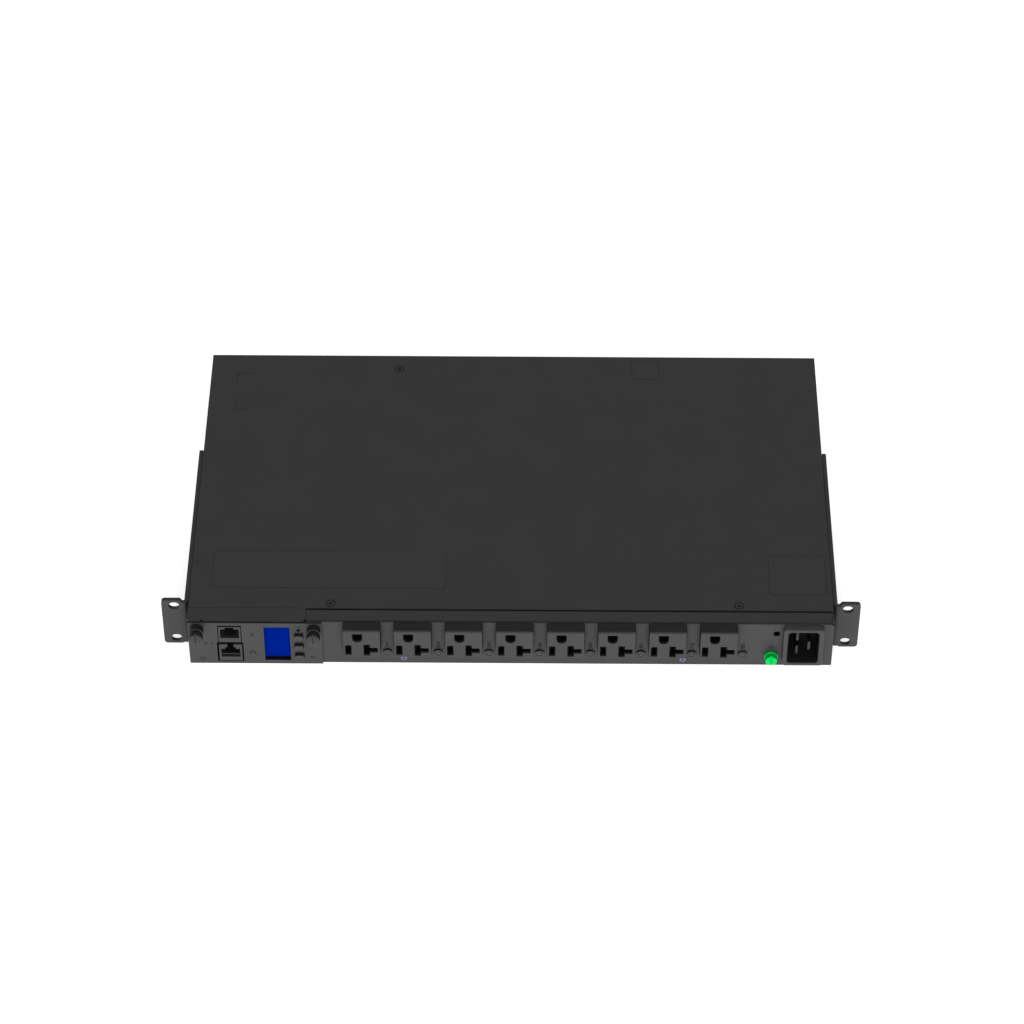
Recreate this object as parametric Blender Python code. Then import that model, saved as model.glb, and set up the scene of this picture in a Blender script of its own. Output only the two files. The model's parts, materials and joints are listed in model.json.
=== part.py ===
"""One-unit rack power strip with eight switched outlets and a removable network module.

Lengths are in millimetres. Across is x, from the middle of the body. Back is y, from the
outer face of the front panel. Up is z, from the underside. The datum empty then carries
everything, so that the world's origin is at the middle of the strip's footprint.
"""
from math import cos, pi, radians, sin

import bmesh
import bpy
from mathutils import Vector

MM = 0.001
GAP = 0.3              # clearance between neighbouring pieces
SHEET = 1.2            # chassis sheet steel

# Chassis, a one-unit body for a 19-inch rack
BODY_WIDTH = 444.5
BODY_DEPTH = 272.0
BODY_HEIGHT = 41.0
HALF_BODY = BODY_WIDTH / 2
WALL_TOP = BODY_HEIGHT - SHEET - GAP
TRAY_FRONT = SHEET + GAP
COVER_FRONT = 12.6
STRIP_BACK = 10.6      # rear edge of the front panel's top strip
SHELF_BACK = 24.0      # the shelf under the cover's front edge ends here
SHELF_HALF = HALF_BODY - 3.4
BEND = 1.5             # outer radius of the folded edges
BEND_INNER = 0.3
SHANK_HOLE = 1.9       # radius of the holes for the cover screws' shanks

# Rack brackets
RACK_WIDTH = 482.6
HALF_RACK = RACK_WIDTH / 2
EAR_HEIGHT = 42.4
EAR_FRONT = 17.6
BRACKET_SHEET = 2.9
BRACKET_BACK = 170.6
ARM_INNER = HALF_BODY + GAP
ARM_OUTER = ARM_INNER + BRACKET_SHEET
ARM_LOW = 0.8
ARM_HIGH = 40.0
SLOT_X = 465.1 / 2
SLOT_SPACING = 31.75
SLOT_SIZE = (7.4, 6.5)
BRACKET_SCREW_PLACES = (45.0, 145.0)
BRACKET_SCREW_Z = 15.0

# Outlets
OUTLET_COUNT = 8
OUTLET_PITCH = 35.05
FIRST_OUTLET_X = -102.25
OUTLET_Z = 26.85
OUTLET_SIZE = 26.0
OUTLET_PROUD = 9.0
OUTLET_BACK = 16.0
OUTLET_BODY = (24.0, 22.0)    # the part behind the panel, across and up
OUTLET_RISE = 0.9      # the face, above the middle of the part behind the panel
BLADE_SPACING = 12.7
PINS_X = -2.9          # the pin pattern's middle, from the outlet's middle
BLADES_Z = -5.05
EARTH_Z = 6.75
SLOT_DEPTH = 15.0
INDICATOR_X = 17.15    # an indicator, from its outlet's middle
INDICATOR_Z = 11.0
INDICATOR_RADIUS = 3.35

# Power inlet, the 20 A pattern with three flat blades
INLET_X = 201.4
INLET_Z = 22.2
INLET_SIZE = (27.9, 35.5)
INLET_RECESS = (21.4, 29.5)
INLET_PROUD = 5.1
INLET_FLOOR = 14.5
INLET_BACK = 20.0
INLET_BLADE = (2.0, 8.0)
INLET_BLADE_SPREAD = 13.0
INLET_BLADE_COLUMNS = 8.0

# Fasteners on the front panel
EARTH_SCREW = (180.0, 9.7)
SPARE_HOLE = (183.1, 31.05)
SPARE_HOLE_RADIUS = 2.4
PANEL_SCREWS = ((-73.85, 6.0), (119.1, 6.0))

# Cover screws, all near the cover's front and rear edges
COVER_SCREWS = ((-124.3, 17.2), (157.3, 17.2), (-84.0, 257.5), (97.0, 257.5))
COUNTERSINK_TOP = 3.75
COUNTERSINK_BOTTOM = 2.4

# Network module and its bay
BAY_LEFT = -211.4
BAY_RIGHT = -140.6
BAY_DEPTH = 150.0
PLATE_FRONT = -1.75
PLATE_BACK = -0.25
PLATE_X = (-222.0, -129.9)
PLATE_Z = (0.3, 40.3)
MODULE_WALLS = (BAY_LEFT + 0.6, BAY_RIGHT - 0.6)
MODULE_DEPTH = 125.0
THUMBSCREW_X = (-215.6, -135.2)
THUMBSCREW_Z = 34.9
THUMBSCREW_PROUD = 13.1
KEY_X = -145.8
KEY_Z = (27.7, 18.1, 8.5)
KEY_SIZE = (5.9, 4.8)
KEY_PROUD = 2.65
STATUS_Z = 33.6
RESET = (-205.55, 20.0)
WINDOW_X = (-169.7, -151.9)
WINDOW_Z = (3.8, 36.3)
SCREEN_DEPTH = 3.0     # the screen, behind the plate's face
JACK_X = -193.4

FRONT_Y = (THUMBSCREW_PROUD - BODY_DEPTH) / 2

SIDES_COARSE = 16
SIDES_FINE = 24


# ---------------------------------------------------------------- outlines

def circle(radius, sides=SIDES_FINE, centre=(0.0, 0.0)):
    """Points around a circle."""
    turns = [2 * pi * (index + 0.5) / sides for index in range(sides)]
    return [(centre[0] + radius * cos(turn), centre[1] + radius * sin(turn)) for turn in turns]


def arc(centre, radius, start, end, steps=4):
    """Points along an arc, from one angle to another in degrees, with both ends."""
    angles = [radians(start + (end - start) * index / steps) for index in range(steps + 1)]
    return [(centre[0] + radius * cos(angle), centre[1] + radius * sin(angle)) for angle in angles]


def rectangle(low, high):
    """A rectangle between two corners."""
    return [(low[0], low[1]), (high[0], low[1]), (high[0], high[1]), (low[0], high[1])]


def rounded(width, height, radius, centre=(0.0, 0.0), steps=3):
    """A rectangle with round corners, about its centre."""
    across = width / 2 - radius
    up = height / 2 - radius
    corners = ((across, up, 0), (-across, up, 90), (-across, -up, 180), (across, -up, 270))
    points = []
    for corner_x, corner_z, start in corners:
        middle = (centre[0] + corner_x, centre[1] + corner_z)
        points += arc(middle, radius, start, start + 90, steps)
    return points


def slot_outline(width, height, centre, steps=8):
    """A slot with round ends, longer across than it is high."""
    reach = (width - height) / 2
    right = arc((centre[0] + reach, centre[1]), height / 2, -90, 90, steps)
    left = arc((centre[0] - reach, centre[1]), height / 2, 90, 270, steps)
    return right + left


def cross_outline(reach, half_width):
    """A plus sign."""
    return [(reach, -half_width), (reach, half_width), (half_width, half_width),
            (half_width, reach), (-half_width, reach), (-half_width, half_width),
            (-reach, half_width), (-reach, -half_width), (-half_width, -half_width),
            (-half_width, -reach), (half_width, -reach), (half_width, -half_width)]


def mirrored(outline):
    """The same outline on the other side of the middle."""
    return [(-across, along) for across, along in reversed(outline)]


# ---------------------------------------------------------------- solids

def lift(outline, axis, distance):
    """An outline as a ring of points in space, square to an axis."""
    if axis == "x":
        return [(distance, first, second) for first, second in outline]
    if axis == "y":
        return [(first, distance, second) for first, second in outline]
    return [(first, second, distance) for first, second in outline]


def prism(outline, axis, low, high):
    """The rings of an outline carried along an axis."""
    return [lift(outline, axis, low), lift(outline, axis, high)]


def box(low, high):
    """The rings of a box between two corners."""
    return prism(rectangle(low[:2], high[:2]), "z", low[2], high[2])


def turned(profile, axis, sides=SIDES_FINE, centre=(0.0, 0.0)):
    """The rings of a round solid, from pairs of radius and place along the axis."""
    return [lift(circle(radius, sides, centre), axis, place) for radius, place in profile]


def skin_loft(form, rings, hollow):
    """Faces through the rings, with flat ends unless the last ring meets the first."""
    rows = [[form.verts.new(Vector(point) * MM) for point in ring] for ring in rings]
    pairs = list(zip(rows, rows[1:]))
    if hollow:
        pairs.append((rows[-1], rows[0]))
    else:
        form.faces.new(rows[0])
        form.faces.new(rows[-1])
    for near, far in pairs:
        for index in range(len(near)):
            after = (index + 1) % len(near)
            form.faces.new((near[index], near[after], far[after], far[index]))


def mesh_of(name, *lofts, hollow=False):
    """One mesh from one or more lofts, each a list of rings with equally many points."""
    form = bmesh.new()
    for rings in lofts:
        skin_loft(form, rings, hollow)
    bmesh.ops.recalc_face_normals(form, faces=form.faces)
    mesh = bpy.data.meshes.new(name)
    form.to_mesh(mesh)
    form.free()
    return mesh


def keep_modified_mesh(piece):
    """Make what the modifiers give the piece's own mesh."""
    graph = bpy.context.evaluated_depsgraph_get()
    finished = bpy.data.meshes.new_from_object(piece.evaluated_get(graph))
    piece.modifiers.clear()
    piece.data = finished


def combine(mesh, operation, *lofts):
    """The mesh after cutting lofts out of it, or after joining them to it."""
    piece = bpy.data.objects.new("work", mesh)
    tool = bpy.data.objects.new("tool", mesh_of("tool", *lofts))
    for item in (piece, tool):
        bpy.context.collection.objects.link(item)
    modifier = piece.modifiers.new("combine", "BOOLEAN")
    modifier.operation = operation
    modifier.object = tool
    keep_modified_mesh(piece)
    finished = piece.data
    bpy.data.objects.remove(tool)
    bpy.data.objects.remove(piece)
    return finished


def cut(mesh, *lofts):
    """The mesh without what the lofts take up."""
    return combine(mesh, "DIFFERENCE", *lofts)


def join(mesh, *lofts):
    """The mesh and the lofts as one solid."""
    return combine(mesh, "UNION", *lofts)


# ---------------------------------------------------------------- scene

def clear_scene():
    """Remove whatever the opened file holds."""
    for item in list(bpy.data.objects):
        bpy.data.objects.remove(item)


def make_material(name, colour, roughness, metallic=0.0):
    """A plain material with one colour."""
    material = bpy.data.materials.new(name)
    material.use_nodes = True
    shader = material.node_tree.nodes["Principled BSDF"]
    shader.inputs["Base Color"].default_value = (*colour, 1.0)
    shader.inputs["Roughness"].default_value = roughness
    shader.inputs["Metallic"].default_value = metallic
    return material


def make_materials():
    """Every material of the strip by a short name."""
    return {
        "chassis": make_material("chassis_paint", (0.045, 0.045, 0.046), 0.5),
        "bracket": make_material("bracket_paint", (0.05, 0.05, 0.05), 0.5),
        "plastic": make_material("outlet_plastic", (0.05, 0.05, 0.051), 0.42),
        "dark": make_material("dark_plastic", (0.012, 0.012, 0.013), 0.4),
        "screen": make_material("screen", (0.0, 0.015, 0.28), 0.2),
        "zinc": make_material("zinc_plate", (0.5, 0.48, 0.62), 0.3, 1.0),
        "green": make_material("earth_green", (0.0, 0.35, 0.09), 0.4),
        "black_screw": make_material("black_screw", (0.03, 0.03, 0.03), 0.4, 0.6),
        "brass": make_material("blade_metal", (0.6, 0.55, 0.45), 0.3, 1.0),
        "copper": make_material("bus_copper", (0.75, 0.38, 0.2), 0.35, 1.0),
        "board": make_material("board_green", (0.02, 0.13, 0.05), 0.5),
    }


def make_empty(name, parent, location=(0.0, 0.0, 0.0)):
    """An empty that carries other pieces."""
    empty = bpy.data.objects.new(name, None)
    empty.parent = parent
    empty.location = Vector(location) * MM
    bpy.context.collection.objects.link(empty)
    return empty


def add(name, mesh, material, parent, location=(0.0, 0.0, 0.0)):
    """Put a mesh in the scene as a named piece."""
    mesh.shade_smooth()
    mesh.set_sharp_from_angle(angle=radians(35))
    if not mesh.materials:
        mesh.materials.append(material)
    mesh.name = name
    piece = bpy.data.objects.new(name, mesh)
    piece.parent = parent
    piece.location = Vector(location) * MM
    bpy.context.collection.objects.link(piece)
    return piece


# ---------------------------------------------------------------- chassis

def chassis_tray(parent, paint):
    """Floor and two side walls, folded from one sheet."""
    inner = HALF_BODY - SHEET
    outer_fold = arc((HALF_BODY - BEND, BEND), BEND, 270, 360)
    inner_fold = arc((inner - BEND_INNER, SHEET + BEND_INNER), BEND_INNER, 360, 270)
    right = outer_fold + [(HALF_BODY, WALL_TOP), (inner, WALL_TOP)] + inner_fold
    outline = right + mirrored(right)
    mesh = mesh_of("tray", prism(outline, "y", TRAY_FRONT, BODY_DEPTH))
    holes = []
    for side in (-1, 1):
        for place in BRACKET_SCREW_PLACES:
            hole = circle(2.4, SIDES_COARSE, (place, BRACKET_SCREW_Z))
            ends = sorted((side * (inner - 1.0), side * (HALF_BODY + 1.0)))
            holes.append(prism(hole, "x", *ends))
    add("chassis_tray", cut(mesh, *holes), paint, parent)


def rear_panel(parent, paint):
    """Rear wall with a flange along its top for the cover's rear screws."""
    half = HALF_BODY - SHEET - GAP
    flange_front = 250.0
    wall_front = BODY_DEPTH - SHEET
    floor = SHEET + GAP
    wall = rectangle((wall_front, floor), (BODY_DEPTH, WALL_TOP))
    mesh = mesh_of("rear", prism(wall, "x", -half, half))
    top = rectangle((flange_front, WALL_TOP - SHEET), (BODY_DEPTH - SHEET / 2, WALL_TOP))
    mesh = join(mesh, prism(top, "x", -SHELF_HALF + GAP, SHELF_HALF - GAP))
    mesh = cut(mesh, *shank_holes(COVER_SCREWS[2:]))
    add("rear_panel", mesh, paint, parent)


def shank_holes(places):
    """Holes down through the sheet under the cover, for the cover screws."""
    low = WALL_TOP - SHEET - 1.0
    high = WALL_TOP + 0.2
    return [prism(circle(SHANK_HOLE, SIDES_COARSE, place), "z", low, high) for place in places]


def panel_fold():
    """Side outline of the front panel: its wall, the round top edge and the top strip."""
    under = BODY_HEIGHT - SHEET
    outer = arc((BEND, BODY_HEIGHT - BEND), BEND, 180, 90)
    inner = [(STRIP_BACK, BODY_HEIGHT), (STRIP_BACK, under), (BEND, under), (SHEET, under - GAP)]
    return [(0.0, 0.0)] + outer + inner + [(SHEET, 0.0)]


def shelf(strip_back):
    """Side outline of the shelf that steps down under the cover's front edge."""
    step = strip_back - SHEET
    return [(step, WALL_TOP - SHEET), (SHELF_BACK, WALL_TOP - SHEET), (SHELF_BACK, WALL_TOP),
            (strip_back, WALL_TOP), (strip_back, BODY_HEIGHT - 0.4), (step, BODY_HEIGHT - 0.4)]


def through_panel(outline):
    """An outline carried right through the front sheet, to cut a hole with."""
    return prism(outline, "y", -1.0, SHEET + 1.0)


def corner_relief():
    """The notch at the strip's front right corner, and the groove back from it."""
    notch = 1.6
    groove = 0.5
    depth = 0.6
    side = HALF_BODY - notch
    top = BODY_HEIGHT + 1.0
    corner = box((side, -1.0, BODY_HEIGHT - notch), (HALF_BODY + 1.0, notch, top))
    line = box((side, notch / 2, BODY_HEIGHT - depth), (side + groove, STRIP_BACK + 1.0, top))
    return corner, line


def outlet_places():
    """Each outlet's middle across the front."""
    return [FIRST_OUTLET_X + OUTLET_PITCH * index for index in range(OUTLET_COUNT)]


def front_panel(parent, paint):
    """Folded front with the openings for outlets, indicators, inlet and screws."""
    mesh = mesh_of("front", prism(panel_fold(), "x", BAY_RIGHT, HALF_BODY))
    mesh = join(mesh, prism(shelf(STRIP_BACK), "x", BAY_RIGHT, SHELF_HALF))
    opening = [size + 2 * GAP for size in OUTLET_BODY]
    holes = []
    for middle in outlet_places():
        holes.append(through_panel(rounded(*opening, 1.0, (middle, OUTLET_Z))))
        eye = circle(2.3, SIDES_COARSE, (middle + INDICATOR_X, INDICATOR_Z))
        holes.append(through_panel(eye))
    inlet = rounded(INLET_SIZE[0] - 3.0, INLET_SIZE[1] - 3.0, 2.0, (INLET_X, INLET_Z))
    holes.append(through_panel(inlet))
    holes.append(through_panel(circle(SPARE_HOLE_RADIUS, SIDES_FINE, SPARE_HOLE)))
    holes.append(through_panel(circle(2.9, SIDES_COARSE, EARTH_SCREW)))
    thread = (THUMBSCREW_X[1], THUMBSCREW_Z)
    holes.append(through_panel(circle(2.3, SIDES_COARSE, thread)))
    for place in PANEL_SCREWS:
        holes.append(through_panel(circle(1.8, SIDES_COARSE, place)))
    mesh = cut(mesh, *holes)
    mesh = cut(mesh, *shank_holes(COVER_SCREWS[:2]))
    for relief in corner_relief():
        mesh = cut(mesh, relief)
    add("front_panel", mesh, paint, parent)


def bay_frame(parent, paint):
    """Top strip over the module's bay, with its tab folded down on the left."""
    right = BAY_RIGHT - GAP
    back = COVER_FRONT - GAP
    notch = 1.6
    under = BODY_HEIGHT - SHEET
    outline = [(-HALF_BODY, BEND), (BEND - HALF_BODY, 0.0), (BAY_LEFT - notch, 0.0),
               (BAY_LEFT - notch / 2, notch), (BAY_LEFT, 0.0), (right - notch, 0.0),
               (right - notch / 2, notch / 2), (right, notch), (right, back), (-HALF_BODY, back)]
    mesh = mesh_of("bay", prism(outline, "z", under, BODY_HEIGHT))
    mesh = join(mesh, prism(shelf(back), "x", -SHELF_HALF, right))
    tab = rectangle((BEND - HALF_BODY, SHEET + GAP), (BAY_LEFT - notch, BODY_HEIGHT - 0.4))
    mesh = join(mesh, prism(tab, "y", 0.0, SHEET))
    thread = circle(2.3, SIDES_COARSE, (THUMBSCREW_X[0], THUMBSCREW_Z))
    add("bay_frame", cut(mesh, through_panel(thread)), paint, parent)


def bay_partition(parent, paint):
    """Walls that part the module's bay from the mains side, an L seen from above."""
    left = GAP - SHELF_HALF
    inner = BAY_RIGHT + GAP
    outer = inner + SHEET
    outline = [(inner, TRAY_FRONT), (outer, TRAY_FRONT), (outer, BAY_DEPTH), (left, BAY_DEPTH),
               (left, BAY_DEPTH - SHEET), (inner, BAY_DEPTH - SHEET)]
    low = SHEET + GAP
    high = WALL_TOP - SHEET - GAP
    add("bay_partition", mesh_of("partition", prism(outline, "z", low, high)), paint, parent)


def top_cover(parent, paint):
    """Flat lid with a short skirt inside each side wall and four countersunk holes."""
    under = BODY_HEIGHT - SHEET
    plate = rectangle((-HALF_BODY, COVER_FRONT), (HALF_BODY, BODY_DEPTH))
    mesh = mesh_of("cover", prism(plate, "z", under, BODY_HEIGHT))
    outer = HALF_BODY - SHEET - GAP
    for side in (-1, 1):
        ends = sorted((side * outer, side * (outer - SHEET)))
        skirt = box((ends[0], SHELF_BACK + 2.0, 32.0), (ends[1], 246.0, under + SHEET / 2))
        mesh = join(mesh, skirt)
    for place in COVER_SCREWS:
        sink = ((COUNTERSINK_BOTTOM, under - 0.5), (COUNTERSINK_BOTTOM, under + 0.1),
                (COUNTERSINK_TOP, BODY_HEIGHT), (COUNTERSINK_TOP, BODY_HEIGHT + 0.5))
        mesh = cut(mesh, turned(sink, "z", SIDES_FINE, place))
    add("top_cover", mesh, paint, parent)


def arm_outline():
    """The right bracket seen from above: its arm, the fold and a stub that the ear widens."""
    ear_back = EAR_FRONT + BRACKET_SHEET
    inside = 0.6
    outside = inside + BRACKET_SHEET
    stub = ARM_OUTER + 4.0
    fold = arc((ARM_INNER + outside, EAR_FRONT + outside), outside, 180, 270, 5)
    hollow = arc((ARM_OUTER + inside, ear_back + inside), inside, 270, 180, 2)
    front = [(ARM_INNER, BRACKET_BACK)] + fold + [(stub, EAR_FRONT), (stub, ear_back)]
    return front + hollow + [(ARM_OUTER, BRACKET_BACK)]


def ear_outline():
    """The right ear seen from the front, with its outer corners round and inner ones cut off."""
    corner = 2.5
    inner = ARM_OUTER + 1.6
    cut_across = 1.4
    cut_up = 2.0
    middle = HALF_RACK - corner
    outer = arc((middle, corner), corner, 270, 360) + arc((middle, EAR_HEIGHT - corner), corner, 0, 90)
    return [(inner + cut_across, 0.0)] + outer + [
        (inner + cut_across, EAR_HEIGHT), (inner, EAR_HEIGHT - cut_up), (inner, cut_up)]


def bracket_holes(side):
    """The ear's two slots and the countersunk holes for the arm's screws."""
    holes = []
    for level in (-1, 1):
        centre = (side * SLOT_X, (EAR_HEIGHT + level * SLOT_SPACING) / 2)
        outline = slot_outline(*SLOT_SIZE, centre)
        holes.append(prism(outline, "y", EAR_FRONT - 1.0, EAR_FRONT + BRACKET_SHEET + 1.0))
    hole = 2.4
    sink = 4.5
    stages = ((hole, ARM_INNER - 1.0), (hole, ARM_OUTER - 2.2), (sink, ARM_OUTER), (sink, ARM_OUTER + 1.0))
    stages = [(radius, side * distance) for radius, distance in stages]
    for place in BRACKET_SCREW_PLACES:
        holes.append(turned(stages, "x", SIDES_COARSE, (place, BRACKET_SCREW_Z)))
    return holes


def bracket_mesh(side):
    """L-shaped steel bracket with a slotted ear and an arm along the body."""
    arm = arm_outline()
    ear = ear_outline()
    if side < 0:
        arm = mirrored(arm)
        ear = mirrored(ear)
    mesh = mesh_of("bracket", prism(arm, "z", ARM_LOW, ARM_HIGH))
    mesh = join(mesh, prism(ear, "y", EAR_FRONT, EAR_FRONT + BRACKET_SHEET))
    return cut(mesh, *bracket_holes(side))


def rack_brackets(parent, paint, screw_metal):
    """The two brackets, each with two countersunk cross-head screws through its arm."""
    for side, name in ((-1, "left"), (1, "right")):
        add("rack_bracket_" + name, bracket_mesh(side), paint, parent)
        profile = [(4.1, side * -0.15), (2.0, side * -2.35), (2.0, side * -9.0)]
        mesh = mesh_of("bracket_screw", turned(profile, "x", SIDES_COARSE))
        recess = [lift(cross_outline(1.9, 0.45), "x", side * 0.3),
                  lift(cross_outline(1.2, 0.35), "x", side * -1.7)]
        mesh = cut(mesh, recess)
        for place, end in zip(BRACKET_SCREW_PLACES, ("front", "rear")):
            location = (side * ARM_OUTER, place, BRACKET_SCREW_Z)
            add("bracket_screw_" + name + "_" + end, mesh, screw_metal, parent, location)


def cover_screws(parent, screw_metal):
    """Countersunk screws with a hexagon socket, a little below the cover's face."""
    profile = ((1.5, -9.0), (1.5, -1.6), (2.75, -0.35), (2.75, -0.2))
    mesh = mesh_of("cover_screw", turned(profile, "z", SIDES_FINE))
    mesh = cut(mesh, prism(circle(1.6, 6), "z", -1.4, 0.4))
    for number, (across, back) in enumerate(COVER_SCREWS, 1):
        location = (across, back, BODY_HEIGHT)
        add("cover_screw_" + str(number), mesh, screw_metal, parent, location)


# ---------------------------------------------------------------- outlets

def neutral_outline(grow):
    """The T-shaped slot: an upright blade slot with a bar to its right."""
    half = 1.25 + grow
    up = 4.3 + grow
    reach = 6.6 + grow
    return [(-half, -up), (half, -up), (half, -half), (reach, -half),
            (reach, half), (half, half), (half, up), (-half, up)]


def live_outline(grow):
    """The plain upright slot."""
    half = 1.2 + grow
    up = 3.7 + grow
    return rectangle((-half, -up), (half, up))


def earth_outline(grow):
    """Round below and flat above."""
    radius = 2.55 + grow
    top = 2.95 + grow
    middle = -0.45
    return [(radius, top), (-radius, top)] + arc((0.0, middle), radius, 180, 360, 8)


def funnel(outline_of, centre):
    """A slot with a sloping mouth, sunk into an outlet's face."""
    steps = ((0.65, -1.0), (0.65, 0.0), (0.0, 0.9), (0.0, SLOT_DEPTH))
    rings = []
    for grow, depth in steps:
        outline = [(centre[0] + u, centre[1] + v) for u, v in outline_of(grow)]
        rings.append(lift(outline, "y", depth - OUTLET_PROUD))
    return rings


def outlet_mesh():
    """Moulded outlet: a square face proud of the panel and a body behind it."""
    edge = 0.6
    face = (OUTLET_SIZE - 2 * edge, OUTLET_SIZE - 2 * edge)
    full = (OUTLET_SIZE, OUTLET_SIZE)
    stages = ((face, OUTLET_RISE, -OUTLET_PROUD), (full, OUTLET_RISE, edge - OUTLET_PROUD),
              (full, OUTLET_RISE, -GAP), (OUTLET_BODY, 0.0, -GAP), (OUTLET_BODY, 0.0, OUTLET_BACK))
    rings = [lift(rounded(*size, 1.0, (0.0, rise)), "y", place) for size, rise, place in stages]
    mesh = mesh_of("outlet", rings)
    live = funnel(live_outline, (PINS_X - BLADE_SPACING / 2, BLADES_Z))
    neutral = funnel(neutral_outline, (PINS_X + BLADE_SPACING / 2, BLADES_Z))
    earth = funnel(earth_outline, (PINS_X, EARTH_Z))
    return cut(mesh, live, neutral, earth)


def indicator_mesh():
    """Light pipe: a round disc with a chamfered edge on a stem through the panel."""
    profile = ((1.9, 7.0), (1.9, -GAP), (INDICATOR_RADIUS, -GAP), (INDICATOR_RADIUS, -1.2),
               (INDICATOR_RADIUS - 0.4, -1.6))
    return mesh_of("indicator", turned(profile, "y", 20))


def outlets(parent, plastic):
    """Eight outlets, each with its indicator below and to the right."""
    outlet = outlet_mesh()
    indicator = indicator_mesh()
    for number, middle in enumerate(outlet_places(), 1):
        add("outlet_" + str(number), outlet, plastic, parent, (middle, 0.0, OUTLET_Z))
        location = (middle + INDICATOR_X, 0.0, INDICATOR_Z)
        add("outlet_indicator_" + str(number), indicator, plastic, parent, location)


# ---------------------------------------------------------------- mains wiring

def comb(far_edge, near_edge, tips, offset):
    """A bus bar's outline: a long strip, with a tooth at each outlet on its near edge."""
    places = outlet_places()
    start = places[0] - 14.0
    end = places[-1] + 8.0
    half_tooth = 2.0
    points = [(end, far_edge), (start, far_edge), (start, near_edge)]
    for middle in places:
        left = middle + offset - half_tooth
        right = middle + offset + half_tooth
        points += [(left, near_edge), (left, tips), (right, tips), (right, near_edge)]
    return points + [(end, near_edge)]


def bus_bars(parent, copper):
    """Line and earth bars against the outlets' backs, and the neutral bar behind them."""
    thickness = 1.0
    first = OUTLET_BACK + GAP
    second = first + thickness + 2 * GAP
    blade_bar = (5.0, 10.0, 24.0)
    earth_bar = (37.0, 33.0, 28.0)
    line = comb(*blade_bar, PINS_X - BLADE_SPACING / 2)
    neutral = comb(*blade_bar, PINS_X + BLADE_SPACING / 2)
    earth = comb(*earth_bar, PINS_X)
    bars = (("line", line, first), ("neutral", neutral, second), ("ground", earth, first))
    for name, outline, front in bars:
        mesh = mesh_of(name, prism(outline, "y", front, front + thickness))
        add(name + "_bus", mesh, copper, parent)


def relay_board(parent, board):
    """Circuit board on four pillars, with one relay behind each outlet."""
    front = 34.0
    back = 110.0
    left = FIRST_OUTLET_X - 16.0
    right = outlet_places()[-1] + 18.0
    top = 8.0
    mesh = mesh_of("board", box((left, front, top - 1.6), (right, back, top)))
    relays = []
    for middle in outlet_places():
        low = (middle - 7.0, front + 8.0, top - 0.4)
        relays.append(box(low, (middle + 7.0, front + 38.0, top + 17.0)))
    mesh = join(mesh, *relays)
    pillars = []
    for across in (left + 5.0, right - 5.0):
        for along in (front + 5.0, back - 5.0):
            profile = ((2.5, SHEET + GAP), (2.5, top - 1.0))
            pillars.append(turned(profile, "z", 12, (across, along)))
    add("relay_board", join(mesh, *pillars), board, parent)


# ---------------------------------------------------------------- inlet

def inlet_blade_places():
    """Where each blade stands, and how far in front of the panel its tip is."""
    left = INLET_X - INLET_BLADE_COLUMNS / 2
    right = INLET_X + INLET_BLADE_COLUMNS / 2
    return (("line", left, INLET_Z + INLET_BLADE_SPREAD / 2, -0.4),
            ("neutral", left, INLET_Z - INLET_BLADE_SPREAD / 2, -0.4),
            ("ground", right, INLET_Z, -2.6))


def inlet_blade_mesh(tip):
    """Flat blade whose nose narrows over its first millimetre."""
    thickness, width = INLET_BLADE
    stages = ((0.6, tip), (0.0, tip + 1.0), (0.0, INLET_BACK + 8.0))
    rings = [lift(rounded(thickness - less, width - 2 * less, 0.3, (0.0, 0.0), 1), "y", place)
             for less, place in stages]
    return mesh_of("blade", rings)


def inlet(parent, plastic, metal):
    """Shrouded housing and its three blades."""
    centre = (INLET_X, INLET_Z)
    width, height = INLET_SIZE
    edge = 0.8
    behind = 3.6
    stages = ((2 * edge, -INLET_PROUD), (0.0, edge - INLET_PROUD), (0.0, -GAP),
              (behind, -GAP), (behind, INLET_BACK))
    rings = [lift(rounded(width - less, height - less, 2.0, centre), "y", place)
             for less, place in stages]
    mesh = mesh_of("inlet", rings)
    recess = rounded(*INLET_RECESS, 2.3, centre)
    mesh = cut(mesh, prism(recess, "y", -INLET_PROUD - 1.0, INLET_FLOOR))
    slots = []
    for _name, across, up, _tip in inlet_blade_places():
        outline = rounded(INLET_BLADE[0] + 2 * GAP, INLET_BLADE[1] + 2 * GAP, 0.2, (across, up), 1)
        slots.append(prism(outline, "y", INLET_FLOOR - 1.0, INLET_BACK + 1.0))
    add("inlet_housing", cut(mesh, *slots), plastic, parent)
    for name, across, up, tip in inlet_blade_places():
        add("inlet_pin_" + name, inlet_blade_mesh(tip), metal, parent, (across, 0.0, up))


# ---------------------------------------------------------------- front screws

def panel_screws(parent, metal):
    """Pan-head screws low on the front panel."""
    profile = ((1.3, 8.0), (1.3, -GAP), (2.35, -GAP), (2.35, -1.1), (1.9, -1.7))
    mesh = mesh_of("panel_screw", turned(profile, "y", SIDES_COARSE))
    recess = [lift(cross_outline(1.4, 0.35), "y", -2.0), lift(cross_outline(0.9, 0.25), "y", -0.8)]
    mesh = cut(mesh, recess)
    for (across, up), name in zip(PANEL_SCREWS, ("left", "right")):
        add("panel_screw_" + name, mesh, metal, parent, (across, 0.0, up))


def washer_mesh(outer, inner, front, back, sides=SIDES_FINE):
    """Flat ring with a chamfered front edge."""
    profile = ((inner, front), (outer - 0.3, front), (outer, front + 0.3), (outer, back), (inner, back))
    return mesh_of("washer", turned(profile, "y", sides), hollow=True)


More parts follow.
